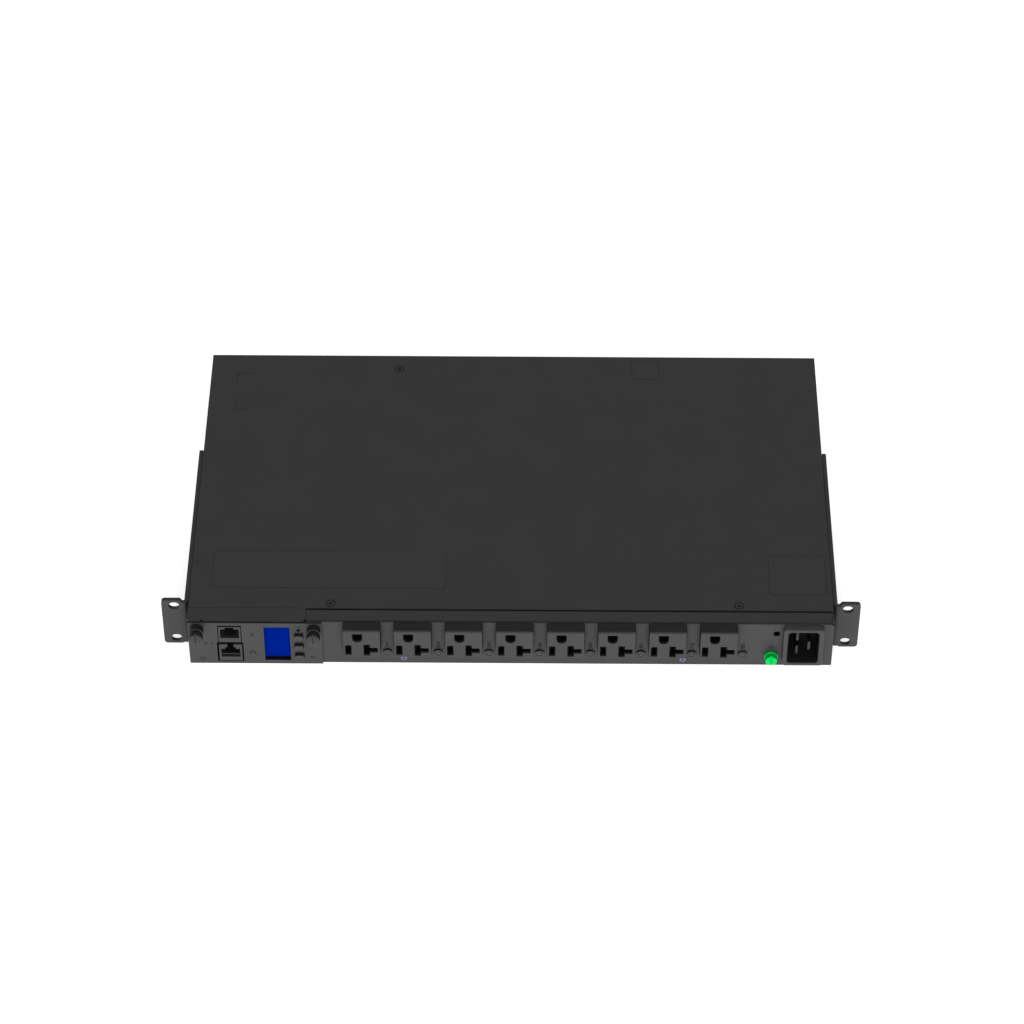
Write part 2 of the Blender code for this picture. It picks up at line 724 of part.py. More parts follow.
def earth_screw(datum, green):
    """Green slotted screw on a green washer; both back out together."""
    head_front = -6.0
    head_back = -2.4
    shank = 2.4
    location = (EARTH_SCREW[0], 0.0, EARTH_SCREW[1])
    washer = washer_mesh(4.75, shank + GAP, -2.1, -GAP)
    add("ground_washer", washer, green, datum, location)
    profile = ((shank, 11.0), (shank, head_back), (4.15, head_back), (4.15, head_front + 0.5),
               (3.7, head_front))
    mesh = mesh_of("earth_screw", turned(profile, "y", SIDES_FINE))
    slot = box((-0.6, head_front - 1.0, -6.0), (0.6, head_front + 1.4, 6.0))
    add("ground_screw", cut(mesh, slot), green, datum, location)


# ---------------------------------------------------------------- network module

def jack_window():
    """One opening for both jacks, wider at the lower one."""
    bottom, step, top = 2.5, 21.0, 37.8
    upper_left, upper_right = JACK_X - 8.2, JACK_X + 8.2
    lower_left, lower_right = JACK_X - 9.2, JACK_X + 9.0
    return [(lower_left, bottom), (lower_right, bottom), (lower_right, step), (upper_right, step),
            (upper_right, top), (upper_left, top), (upper_left, step), (lower_left, step)]


def module_faceplate(parent, paint):
    """Plate with windows for the jacks, the display, the keys and the status light."""
    outline = rectangle((PLATE_X[0], PLATE_Z[0]), (PLATE_X[1], PLATE_Z[1]))
    mesh = mesh_of("faceplate", prism(outline, "y", PLATE_FRONT, PLATE_BACK))
    screen = rectangle((WINDOW_X[0], WINDOW_Z[0]), (WINDOW_X[1], WINDOW_Z[1]))
    windows = [screen, jack_window()]
    for up in KEY_Z:
        windows.append(rounded(KEY_SIZE[0] + 0.7, KEY_SIZE[1] + 0.7, 0.8, (KEY_X, up), 2))
    windows.append(circle(1.3, SIDES_COARSE, (KEY_X, STATUS_Z)))
    windows.append(circle(0.6, 12, RESET))
    for across in THUMBSCREW_X:
        windows.append(circle(2.4, SIDES_COARSE, (across, THUMBSCREW_Z)))
    holes = [prism(window, "y", PLATE_FRONT - 1.0, PLATE_BACK + 1.0) for window in windows]
    add("module_faceplate", cut(mesh, *holes), paint, parent)


def module_tray(parent, paint):
    """Folded tray behind the faceplate, cut away where the jacks, display and keys sit."""
    left, right = MODULE_WALLS
    low = 2.0
    high = 36.0
    floor = low + SHEET
    outline = [(left, low), (right, low), (right, high), (right - SHEET, high),
               (right - SHEET, floor), (left + SHEET, floor), (left + SHEET, high), (left, high)]
    mesh = mesh_of("tray", prism(outline, "y", PLATE_BACK + GAP, MODULE_DEPTH))
    front = PLATE_BACK - 1.0
    floor_gap = box((-204.5, front, low - 1.0), (-149.8, 20.0, floor + 0.5))
    wall_gap = box((right - SHEET - 1.0, front, floor + 0.4), (right + 1.0, 12.0, high + 1.0))
    add("module_tray", cut(mesh, floor_gap, wall_gap), paint, parent)


def module_board(parent, board):
    """Circuit board with its chips and the plug at its rear edge."""
    left = MODULE_WALLS[0] + SHEET + 1.0
    right = MODULE_WALLS[1] - SHEET - 1.0
    top = 7.0
    back = MODULE_DEPTH - 2.0
    mesh = mesh_of("board", box((left, 22.0, top - 1.6), (right, back, top)))
    base = top - 0.4
    chips = (
        box((-190.0, 60.0, base), (-174.0, 76.0, top + 2.0)),
        box((-168.0, 60.0, base), (-156.0, 72.0, top + 1.6)),
        box((-198.0, 90.0, base), (-184.0, 100.0, top + 1.4)),
        box((-205.0, 26.0, base), (-182.0, 40.0, top + 11.0)),
        box((-192.0, back - 9.0, base), (-160.0, back + 1.5, top + 8.0)),
    )
    add("module_board", join(mesh, *chips), board, parent)


def jack_shell(bottom, top, width):
    """A jack's outer shape, with its face a little behind the plate's face."""
    outline = rectangle((JACK_X - width / 2, bottom), (JACK_X + width / 2, top))
    return mesh_of("jack", prism(outline, "y", PLATE_FRONT + 0.15, 15.0))


def sensor_jack(parent, plastic):
    """Upper jack: a plain mouth with a latch notch above it."""
    mesh = jack_shell(21.3, 36.2, 15.4)
    half = 6.4
    notch = 3.1
    mouth = [(-half, 25.3), (half, 25.3), (half, 33.9), (notch, 33.9),
             (notch, 35.5), (-notch, 35.5), (-notch, 33.9), (-half, 33.9)]
    mouth = [(JACK_X + across, up) for across, up in mouth]
    add("sensor_jack", cut(mesh, prism(mouth, "y", -3.0, 13.0)), plastic, parent)


def ethernet_jack(parent, plastic):
    """Lower jack: a mouth that narrows upward in two steps and opens at the top."""
    mesh = jack_shell(2.9, 18.85, 16.0)
    half = 6.5
    step = 3.6
    neck = 2.15
    mouth = [(-half, 6.7), (half, 6.7), (half, 14.5), (step, 14.5), (step, 16.2), (neck, 16.2),
             (neck, 20.0), (-neck, 20.0), (-neck, 16.2), (-step, 16.2), (-step, 14.5), (-half, 14.5)]
    mouth = [(JACK_X + across, up) for across, up in mouth]
    add("ethernet_jack", cut(mesh, prism(mouth, "y", -3.0, 13.0)), plastic, parent)


def display(parent, plastic):
    """Display body whose rim holds the screen well behind the window."""
    rim = 1.2
    front = PLATE_BACK + GAP
    low = (WINDOW_X[0] - rim, front, WINDOW_Z[0] - rim)
    high = (WINDOW_X[1] + rim, front + 8.0, WINDOW_Z[1] + rim)
    mesh = mesh_of("display", box(low, high))
    screen = PLATE_FRONT + SCREEN_DEPTH
    pocket = box((WINDOW_X[0], front - 1.0, WINDOW_Z[0]), (WINDOW_X[1], screen, WINDOW_Z[1]))
    add("display", cut(mesh, pocket), plastic, parent)


def status_light(parent, plastic):
    """Small round lamp set back in its hole."""
    profile = ((0.9, PLATE_FRONT + 0.2), (1.0, PLATE_FRONT + 0.5), (1.0, PLATE_BACK + GAP),
               (1.6, PLATE_BACK + GAP), (1.6, 5.0))
    mesh = mesh_of("status", turned(profile, "y", SIDES_COARSE))
    add("status_led", mesh, plastic, parent, (KEY_X, 0.0, STATUS_Z))


def keys(parent, plastic):
    """Three push keys, each held by a lip behind the plate."""
    width, height = KEY_SIZE
    front = PLATE_FRONT - KEY_PROUD
    lip = PLATE_BACK + GAP
    stages = ((-0.6, front), (0.0, front + 0.3), (0.0, lip), (1.4, lip), (1.4, lip + 1.0),
              (-3.0, lip + 1.0), (-3.0, 4.5))
    rings = [lift(rounded(width + more, height + more, 0.5, (0.0, 0.0), 2), "y", place)
             for more, place in stages]
    mesh = mesh_of("key", rings)
    for name, up in zip(("scroll", "select", "menu"), KEY_Z):
        add(name + "_button", mesh, plastic, parent, (KEY_X, 0.0, up))


def reset_button(parent, plastic):
    """Pin behind a small hole, for pressing with a paper clip."""
    profile = ((1.2, PLATE_BACK + 0.6), (1.4, PLATE_BACK + 0.8), (1.4, 2.5), (2.2, 2.5), (2.2, 6.0))
    mesh = mesh_of("reset", turned(profile, "y", SIDES_COARSE))
    add("reset_button", mesh, plastic, parent, (RESET[0], 0.0, RESET[1]))


def thumbscrews(parent, metal):
    """Slotted thumbscrews with a grooved head, each on a washer that travels with it."""
    face = -THUMBSCREW_PROUD
    shank = 2.0
    head = 4.9
    waist = 4.1
    base = PLATE_FRONT - GAP - 1.1
    washer = washer_mesh(4.5, shank + GAP, base, PLATE_FRONT - GAP)
    start = base - GAP
    profile = ((shank, 7.0), (shank, start), (head - 0.3, start), (head, start - 0.4),
               (head, start - 3.6), (waist, start - 4.0), (waist, start - 5.4),
               (head, start - 5.8), (head, face + 0.5), (head - 0.5, face))
    mesh = mesh_of("thumbscrew", turned(profile, "y", SIDES_FINE))
    slot = box((-0.6, face - 1.0, -6.0), (0.6, face + 1.5, 6.0))
    mesh = cut(mesh, slot)
    for across, name in zip(THUMBSCREW_X, ("left", "right")):
        location = (across, 0.0, THUMBSCREW_Z)
        add("thumbscrew_washer_" + name, washer, metal, parent, location)
        add("thumbscrew_" + name, mesh, metal, parent, location)


# ---------------------------------------------------------------- assembly

def build():
    """Model the whole strip."""
    clear_scene()
    looks = make_materials()
    datum = make_empty("datum", None, (0.0, FRONT_Y, 0.0))
    module = make_empty("module", datum)

    chassis_tray(datum, looks["chassis"])
    rear_panel(datum, looks["chassis"])
    front_panel(datum, looks["chassis"])
    bay_frame(datum, looks["chassis"])
    bay_partition(datum, looks["chassis"])
    top_cover(datum, looks["chassis"])
    rack_brackets(datum, looks["bracket"], looks["black_screw"])
    cover_screws(datum, looks["black_screw"])

    outlets(datum, looks["plastic"])
    bus_bars(datum, looks["copper"])
    relay_board(datum, looks["board"])
    inlet(datum, looks["plastic"], looks["brass"])
    panel_screws(datum, looks["zinc"])
    earth_screw(datum, looks["green"])

    module_faceplate(module, looks["chassis"])
    module_tray(module, looks["chassis"])
    module_board(module, looks["board"])
    sensor_jack(module, looks["plastic"])
    ethernet_jack(module, looks["plastic"])
    display(module, looks["screen"])
    status_light(module, looks["dark"])
    keys(module, looks["plastic"])
    reset_button(module, looks["dark"])
    thumbscrews(module, looks["dark"])


build()
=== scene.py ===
"""Looks of a one-unit rack power strip with eight outlets and a pull-out network module.

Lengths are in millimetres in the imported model's own frame: x across, y from front to back and
z up from the underside. Places come from the boxes of the CAD nodes.
"""
import json
from math import cos, pi, radians, sin

import bmesh
import bpy
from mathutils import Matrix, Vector


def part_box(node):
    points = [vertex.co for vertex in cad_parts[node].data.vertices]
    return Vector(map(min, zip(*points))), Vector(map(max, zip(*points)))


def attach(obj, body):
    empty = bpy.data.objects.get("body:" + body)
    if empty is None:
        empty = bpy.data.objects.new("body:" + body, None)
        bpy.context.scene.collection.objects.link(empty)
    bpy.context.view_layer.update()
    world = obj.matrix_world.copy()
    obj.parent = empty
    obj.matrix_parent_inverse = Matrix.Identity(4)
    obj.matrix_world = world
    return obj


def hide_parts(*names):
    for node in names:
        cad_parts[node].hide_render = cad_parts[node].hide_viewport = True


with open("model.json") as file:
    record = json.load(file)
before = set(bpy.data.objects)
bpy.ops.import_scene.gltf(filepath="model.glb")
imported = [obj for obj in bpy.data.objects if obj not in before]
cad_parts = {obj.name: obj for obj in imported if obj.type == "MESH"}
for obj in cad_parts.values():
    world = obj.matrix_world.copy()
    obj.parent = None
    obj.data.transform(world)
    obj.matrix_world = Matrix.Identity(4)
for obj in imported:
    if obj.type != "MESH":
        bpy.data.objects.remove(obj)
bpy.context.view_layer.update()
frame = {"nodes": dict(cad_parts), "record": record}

MM = 0.001
SIDES = 48
RECORD = frame["record"]
BODY_OF = {node: body for body, nodes in RECORD["behaviour"]["bodies"].items() for node in nodes}
SLOT_OF = {row["node"]: row["material_slot"] for row in RECORD["subparts"]}


def corners(node):
    """A CAD node's lowest and highest corners, in millimetres."""
    low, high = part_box(node)
    return low / MM, high / MM


def middle(node):
    """The middle of a CAD node's box."""
    low, high = corners(node)
    return (low + high) / 2


def spans(node):
    """A CAD node's width across and its height."""
    low, high = corners(node)
    return high.x - low.x, high.z - low.z


def depths(node):
    """How far behind the front panel's outer face a CAD node starts and ends."""
    low, high = corners(node)
    return low.y - PANEL, high.y - PANEL


def on_panel(node):
    """The middle of a CAD node, brought forward to the front panel's outer face."""
    centre = middle(node)
    return centre.x, PANEL, centre.z


PANEL = corners("front_panel")[0].y        # the front panel's outer face
PLATE = corners("module_faceplate")[0].y   # the module faceplate's outer face
TOP = corners("top_cover")[1].z            # the cover's upper face
GAP = 0.3                                  # clearance between neighbouring pieces


# ---- outlines

def circle(radius, sides=SIDES, centre=(0.0, 0.0)):
    """Points around a circle."""
    turns = [2 * pi * (index + 0.5) / sides for index in range(sides)]
    return [(centre[0] + radius * cos(turn), centre[1] + radius * sin(turn)) for turn in turns]


def arc(centre, radius, start, end, steps=8):
    """Points along an arc, from one angle to another in degrees, with both ends."""
    angles = [radians(start + (end - start) * index / steps) for index in range(steps + 1)]
    return [(centre[0] + radius * cos(angle), centre[1] + radius * sin(angle)) for angle in angles]


def rectangle(low, high):
    """A rectangle between two corners."""
    return [(low[0], low[1]), (high[0], low[1]), (high[0], high[1]), (low[0], high[1])]


def rounded(width, height, radius, centre=(0.0, 0.0), steps=6):
    """A rectangle with round corners, about its centre."""
    across = width / 2 - radius
    up = height / 2 - radius
    points = []
    for side, level, start in ((1, 1, 0), (-1, 1, 90), (-1, -1, 180), (1, -1, 270)):
        place = (centre[0] + side * across, centre[1] + level * up)
        points += arc(place, radius, start, start + 90, steps)
    return points


def bow(radius, start, rise, angles, inner=0.0):
    """Pairs of radius and place along a quarter ellipse, for a turned profile."""
    return [(inner + radius * cos(radians(angle)), start + rise * sin(radians(angle)))
            for angle in angles]


def cross(reach, half_width):
    """A plus sign."""
    return [(reach, -half_width), (reach, half_width), (half_width, half_width),
            (half_width, reach), (-half_width, reach), (-half_width, half_width),
            (-reach, half_width), (-reach, -half_width), (-half_width, -half_width),
            (-half_width, -reach), (half_width, -reach), (half_width, -half_width)]


# ---- meshes

def lift(outline, axis, distance):
    """An outline as a ring of points in space, square to an axis."""
    if axis == "x":
        return [(distance, first, second) for first, second in outline]
    if axis == "y":
        return [(first, distance, second) for first, second in outline]
    return [(first, second, distance) for first, second in outline]


def prism(outline, axis, low, high):
    """The rings of an outline carried along an axis."""
    return [lift(outline, axis, low), lift(outline, axis, high)]


def box(low, high):
    """The rings of a box between two corners."""
    return prism(rectangle(low[:2], high[:2]), "z", low[2], high[2])


def turned(profile, axis, sides=SIDES, centre=(0.0, 0.0)):
    """The rings of a round solid, from pairs of radius and place along the axis."""
    return [lift(circle(radius, sides, centre), axis, place) for radius, place in profile]


def round_edge(outline_of, front, radius, steps=5):
    """Rings that round a face's edge: outline_of gives the outline for a distance inwards."""
    rings = []
    for index in range(steps + 1):
        angle = pi / 2 * index / steps
        inwards = radius * (1 - sin(angle))
        rings.append(lift(outline_of(inwards), "y", front + radius * (1 - cos(angle))))
    return rings


def skin_loft(form, rings, hollow):
    """Faces through the rings, with flat ends unless the last ring meets the first."""
    rows = [[form.verts.new(Vector(point) * MM) for point in ring] for ring in rings]
    pairs = list(zip(rows, rows[1:]))
    if hollow:
        pairs.append((rows[-1], rows[0]))
    else:
        form.faces.new(rows[0])
        form.faces.new(rows[-1])
    for near, far in pairs:
        for index in range(len(near)):
            after = (index + 1) % len(near)
            form.faces.new((near[index], near[after], far[after], far[index]))


def mesh_of(name, *lofts, hollow=False):
    """One mesh from one or more lofts, each a list of rings with equally many points."""
    form = bmesh.new()
    for rings in lofts:
        skin_loft(form, rings, hollow)
    bmesh.ops.recalc_face_normals(form, faces=form.faces)
    mesh = bpy.data.meshes.new(name)
    form.to_mesh(mesh)
    form.free()
    return mesh


def new_object(name, data):
    """A new object in the scene."""
    item = bpy.data.objects.new(name, data)
    bpy.context.collection.objects.link(item)
    return item


def evaluated_mesh(item):
    """A new mesh with what an object's modifiers give."""
    graph = bpy.context.evaluated_depsgraph_get()
    return bpy.data.meshes.new_from_object(item.evaluated_get(graph))


def cut(mesh, *lofts):
    """The mesh without what the lofts take up."""
    piece = new_object("work", mesh)
    tool = new_object("tool", mesh_of("tool", *lofts))
    modifier = piece.modifiers.new("cut", "BOOLEAN")
    modifier.operation = "DIFFERENCE"
    modifier.object = tool
    finished = evaluated_mesh(piece)
    bpy.data.objects.remove(tool)
    bpy.data.objects.remove(piece)
    return finished


def tube(points, radius, sides=8):
    """The rings of a wire bent in one upright plane, through points with x, y and z."""
    level = Vector((1.0, 0.0, 0.0))
    rings = []
    for index, point in enumerate(points):
        before = Vector(points[max(index - 1, 0)])
        after = Vector(points[min(index + 1, len(points) - 1)])
        upward = (after - before).normalized().cross(level).normalized()
        rings.append([Vector(point) + level * across + upward * up for across, up in circle(radius, sides)])
    return rings


# ---- material parts

def start_material(name):
    """A new material with its node tree, its shader and its texture coordinates."""
    material = bpy.data.materials.new(name)
    material.use_nodes = True
    tree = material.node_tree
    place = tree.nodes.new("ShaderNodeTexCoord").outputs["Object"]
    return material, tree, tree.nodes["Principled BSDF"], place


def add_node(tree, kind, links=None, values=None, **settings):
    """A shader node with its settings, its fixed values and what feeds its inputs."""
    made = tree.nodes.new("ShaderNode" + kind)
    for name, value in settings.items():
        setattr(made, name, value)
    for name, value in (values or {}).items():
        made.inputs[name].default_value = value
    for name, source in (links or {}).items():
        tree.links.new(source, made.inputs[name])
    return made


def noise(tree, place, size, detail=2.0, rough=0.5, stretch=None):
    """Noise from 0 to 1 whose blobs are about as large as size, in millimetres."""
    if stretch:
        place = add_node(tree, "Mapping", {"Vector": place}, {"Scale": stretch}).outputs["Vector"]
    values = {"Scale": 1 / (size * MM), "Detail": detail, "Roughness": rough}
    return add_node(tree, "TexNoise", {"Vector": place}, values).outputs["Fac"]


def lathe_rings(tree, place, size, distortion):
    """Rings about y, from 0 to 1, which are finer for a smaller size."""
    values = {"Scale": 1 / (size * MM), "Distortion": distortion}
    made = add_node(tree, "TexWave", {"Vector": place}, values, wave_type="RINGS", rings_direction="Y")
    return made.outputs["Fac"]


def spread(tree, source, low, high, start=0.3, end=0.7):
    """A value carried from the range start to end over to the range low to high."""
    values = {"From Min": start, "From Max": end, "To Min": low, "To Max": high}
    return add_node(tree, "MapRange", {"Value": source}, values).outputs["Result"]


def blend_colours(tree, amount, first, second):
    """A mix of two colours, or of a colour socket and a colour."""
    mixer = add_node(tree, "Mix", {"Factor": amount}, data_type="RGBA")
    for socket, colour in ((mixer.inputs[6], first), (mixer.inputs[7], second)):
        if isinstance(colour, tuple):
            socket.default_value = (*colour, 1.0)
        else:
            tree.links.new(colour, socket)
    return mixer.outputs[2]


def shade_of(colour, factor):
    """A colour made darker or lighter."""
    return tuple(min(channel * factor, 1.0) for channel in colour)


def vary(tree, source, colour, low, high):
    """A colour that wanders between a darker and a lighter shade with a noise."""
    return blend_colours(tree, spread(tree, source, 0.0, 1.0), shade_of(colour, low), shade_of(colour, high))


def bump(tree, source, depth, strength=1.0, under=None):
    """A bump from a value, as deep as depth in millimetres, over another bump."""
    links = {"Height": source}
    if under is not None:
        links["Normal"] = under
    values = {"Distance": depth * MM, "Strength": strength}
    return add_node(tree, "Bump", links, values).outputs["Normal"]


def edge_wear(tree, width):
    """From 0 on flat faces to 1 at edges and corners, over a width in millimetres."""
    bevel = add_node(tree, "Bevel", values={"Radius": width * MM}, samples=4)
    geometry = add_node(tree, "NewGeometry")
    match = add_node(tree, "VectorMath", operation="DOT_PRODUCT")
    tree.links.new(bevel.outputs["Normal"], match.inputs[0])
    tree.links.new(geometry.outputs["Normal"], match.inputs[1])
    return spread(tree, match.outputs["Value"], 1.0, 0.0, 0.80, 0.995)


def worn_edges(tree, base, colour, width, amount, factor):
    """A base with its edges rubbed to a paler shade, over a width in millimetres."""
    wear = spread(tree, edge_wear(tree, width), 0.0, amount, 0.0, 1.0)
    return blend_colours(tree, wear, base, shade_of(colour, factor))


def look_back(tree):
    """The y part of a face's direction: -1 where it looks forward and 1 where it looks back."""
    normal = add_node(tree, "TexCoord").outputs["Normal"]
    return add_node(tree, "SeparateXYZ", {"Vector": normal}).outputs["Y"]


def front_facing(tree):
    """From 0 on faces turned away from the front to 1 on those that face it."""
    return spread(tree, look_back(tree), 0.0, 1.0, -0.15, -0.85)


def fold_shade(tree):
    """Mask for painted shade on folds: from 0 on faces that are square to the front or face it to 1 on the
    folds between them.
    """
    backward = look_back(tree)
    product = add_node(tree, "Math", operation="MULTIPLY")
    for socket, ends in zip(product.inputs, ((0.0, 1.0), (1.0, 0.0))):
        tree.links.new(spread(tree, backward, *ends, 0.0, -1.0), socket)
    return spread(tree, product.outputs[0], 0.0, 1.0, 0.02, 0.2)


def connect(tree, shader, colour=None, roughness=None, normal=None, metallic=None, specular=None):
    """Feed the shader's inputs: sockets are linked, and plain numbers and colours are set."""
    inputs = {"Base Color": colour, "Roughness": roughness, "Normal": normal,
              "Metallic": metallic, "Specular IOR Level": specular}
    for name, value in inputs.items():
        if isinstance(value, bpy.types.NodeSocket):
            tree.links.new(value, shader.inputs[name])
        elif isinstance(value, tuple):
            shader.inputs[name].default_value = (*value, 1.0)
        elif value is not None:
            shader.inputs[name].default_value = value


# ---- materials

def powder_coat(name, colour, roughness, sides=1.0):
    """Satin powder coat: orange peel, fine grain, faint handling marks, paler edges, painted shade on its
    folds and, where wanted, painted shade on faces turned away from the front.
    """
    material, tree, shader, place = start_material(name)
    cloud = noise(tree, place, 30.0, 3.0)
    speckle = noise(tree, place, 0.35, 2.0)
    base = vary(tree, cloud, colour, 0.93, 1.07)
    base = blend_colours(tree, spread(tree, speckle, 0.0, 0.22), base, shade_of(colour, 1.5))
    # Painted shade: faces turned away from the front take the colour times sides.
    if sides < 1.0:
        base = blend_colours(tree, front_facing(tree), shade_of(colour, sides), base)
    # Painted shade on the folds between upward and forward faces.
    base = blend_colours(tree, fold_shade(tree), base, shade_of(colour, 0.3))
    worn = worn_edges(tree, base, colour, 0.3, 0.1, 1.5)
    peel = bump(tree, noise(tree, place, 0.9, 1.0), 0.02, 0.55)
    grain = bump(tree, speckle, 0.006, 0.6, peel)
    smudge = noise(tree, place, 16.0, 4.0, 0.6)
    connect(tree, shader, worn, spread(tree, smudge, roughness - 0.01, roughness + 0.03), grain,
            specular=0.4)
    return material


def moulded_plastic(name, colour, roughness, grain=0.18, sides=1.0, specular=0.4):
    """Moulded plastic with a spark-eroded texture, mottling and, where wanted, painted shade: a darker shade
    on faces turned away from the front, or a lighter one there that leaves the front-facing faces darkest.
    """
    material, tree, shader, place = start_material(name)
    cloud = noise(tree, place, 7.0, 3.0)
    texture = noise(tree, place, grain, 3.0, 0.6)
    base = vary(tree, cloud, colour, 0.92, 1.08)
    base = blend_colours(tree, spread(tree, texture, 0.0, 0.15), base, shade_of(colour, 1.4))
    # Painted shade: faces turned away from the front take the colour times sides.
    if sides != 1.0:
        base = blend_colours(tree, front_facing(tree), shade_of(colour, sides), base)
    normal = bump(tree, texture, 0.008, 0.6)
    connect(tree, shader, base, spread(tree, cloud, roughness - 0.04, roughness + 0.05), normal,
            specular=specular)
    return material


def smoked_lens(name, colour):
    """Dark clear-coated lamp lens with faint rings moulded inside."""
    material, tree, shader, place = start_material(name)
    rings = lathe_rings(tree, place, 1.6, 0.4)
    haze = noise(tree, place, 1.0)
    base = blend_colours(tree, rings, shade_of(colour, 0.75), shade_of(colour, 1.25))
    connect(tree, shader, base, spread(tree, haze, 0.36, 0.44), bump(tree, rings, 0.005, 0.2), specular=0.4)
    shader.inputs["Coat Weight"].default_value = 0.15
    shader.inputs["Coat Roughness"].default_value = 0.15
    return material


def enamel(name, colour):
    """Green lacquer over turned metal, with painted shade on faces turned away from the front."""
    material, tree, shader, place = start_material(name)
    cloud = noise(tree, place, 2.5, 3.0)
    lathe = noise(tree, place, 0.5, 2.0, stretch=(1.0, 0.15, 1.0))
    base = vary(tree, cloud, colour, 0.9, 1.08)
    # Painted shade: faces turned away from the front are darker.
    base = blend_colours(tree, front_facing(tree), shade_of(colour, 0.7), base)
    base = worn_edges(tree, base, colour, 0.25, 0.25, 1.35)
    connect(tree, shader, base, spread(tree, cloud, 0.34, 0.46), bump(tree, lathe, 0.02, 0.35), specular=0.04)
    return material


def turned_metal(name, colour, second, roughness, metallic=1.0):
    """Plated or blackened turned metal with fine lathe rings and patches of a second tint."""
    material, tree, shader, place = start_material(name)
    patch = noise(tree, place, 2.2, 3.0, 0.6)
    rings = lathe_rings(tree, place, 0.9, 1.2)
    base = blend_colours(tree, spread(tree, patch, 0.0, 1.0), colour, second)
    base = worn_edges(tree, base, colour, 0.2, 0.3, 1.6)
    connect(tree, shader, base, spread(tree, patch, roughness - 0.05, roughness + 0.1),
            bump(tree, rings, 0.006, 0.5), metallic)
    return material


def blackened(name, colour, roughness):
    """Blackened knurled metal, darker on its sides as painted shade, with fine turning marks on its face."""
    material, tree, shader, place = start_material(name)
    patch = noise(tree, place, 1.8, 3.0, 0.6)
    rings = lathe_rings(tree, place, 0.9, 0.8)
    base = vary(tree, patch, colour, 0.88, 1.1)
    # Painted shade: the knurled sides, turned away from the front, are much darker than the face.
    base = blend_colours(tree, front_facing(tree), shade_of(colour, 0.15), base)
    base = worn_edges(tree, base, colour, 0.15, 0.2, 1.8)
    connect(tree, shader, base, spread(tree, patch, roughness - 0.05, roughness + 0.08),
            bump(tree, rings, 0.006, 0.4), specular=0.15)
    return material


def drawn_metal(name, colour, roughness):
    """Sheet or drawn metal with fine lines along its length and slight tarnish."""
    material, tree, shader, place = start_material(name)
    lines = noise(tree, place, 0.12, 2.0, stretch=(1.0, 0.03, 1.0))
    tarnish = noise(tree, place, 4.0, 3.0)
    base = vary(tree, tarnish, colour, 0.72, 1.0)
    connect(tree, shader, base, spread(tree, lines, roughness - 0.08, roughness + 0.1),
            bump(tree, lines, 0.006, 0.5), 1.0)
    return material


def liquid_crystal(name, colour):
    """Blue display: a fine grid of dots and a little unevenness in its backlight."""
    material, tree, shader, place = start_material(name)
    upright = add_node(tree, "Mapping", {"Vector": place}, {"Rotation": (radians(90), 0.0, 0.0)})
    cells = {"Scale": 1 / MM, "Brick Width": 0.42, "Row Height": 0.42, "Mortar Size": 0.03,
             "Mortar Smooth": 0.2}
    grid = add_node(tree, "TexBrick", {"Vector": upright.outputs["Vector"]}, cells, offset=0.0)
    dots = grid.outputs["Fac"]
    glow = noise(tree, place, 14.0, 1.0)
    base = vary(tree, glow, colour, 0.9, 1.1)
    base = blend_colours(tree, spread(tree, dots, 0.0, 0.35, 0.0, 1.0), base, shade_of(colour, 0.55))
    connect(tree, shader, base, spread(tree, glow, 0.3, 0.36), bump(tree, dots, 0.004, 0.2), specular=0.0)
    tree.links.new(base, shader.inputs["Emission Color"])
    shader.inputs["Emission Strength"].default_value = 0.35
    return material


def circuit_board(name, colour):
    """Solder mask over fine copper tracks, with tinned pads."""
    material, tree, shader, place = start_material(name)
    tracks = add_node(tree, "TexVoronoi", {"Vector": place}, {"Scale": 1 / (3.2 * MM), "Randomness": 0.85},
                      feature="DISTANCE_TO_EDGE").outputs["Distance"]
    pads = add_node(tree, "TexVoronoi", {"Vector": place}, {"Scale": 1 / (4.1 * MM), "Randomness": 0.5},
                    distance="CHEBYCHEV").outputs["Distance"]
    track = spread(tree, tracks, 1.0, 0.0, 0.05, 0.08)
    pad = spread(tree, pads, 1.0, 0.0, 0.13, 0.16)
    base = blend_colours(tree, track, colour, shade_of(colour, 1.9))
    base = blend_colours(tree, pad, base, (0.55, 0.55, 0.5))
    connect(tree, shader, base, spread(tree, pad, 0.34, 0.28, 0.0, 1.0), bump(tree, track, 0.03, 0.5))
    return material


def vinyl_label(name, colour):
    """Printed vinyl: smoother than the paint, with a faint fibre."""
    material, tree, shader, place = start_material(name)
    cloud = noise(tree, place, 9.0, 2.0)
    fibre = noise(tree, place, 0.25, 2.0, stretch=(0.3, 1.0, 1.0))
    base = vary(tree, cloud, colour, 0.96, 1.05)
    connect(tree, shader, base, spread(tree, cloud, 0.4, 0.48), bump(tree, fibre, 0.004, 0.4), specular=0.4)
    return material


def printed_ink(name, colour):
    """Screen-printed ink with slightly uneven cover."""
    material, tree, shader, place = start_material(name)
    cover = noise(tree, place, 0.4, 2.0)
    base = vary(tree, cover, colour, 0.8, 1.25)
    connect(tree, shader, base, spread(tree, cover, 0.5, 0.65), bump(tree, cover, 0.004, 0.5), specular=0.3)
    return material


PAINT = (0.0225, 0.0225, 0.023)
CHARCOAL = (0.022, 0.022, 0.0225)
MOULDING = (0.024, 0.024, 0.0245)
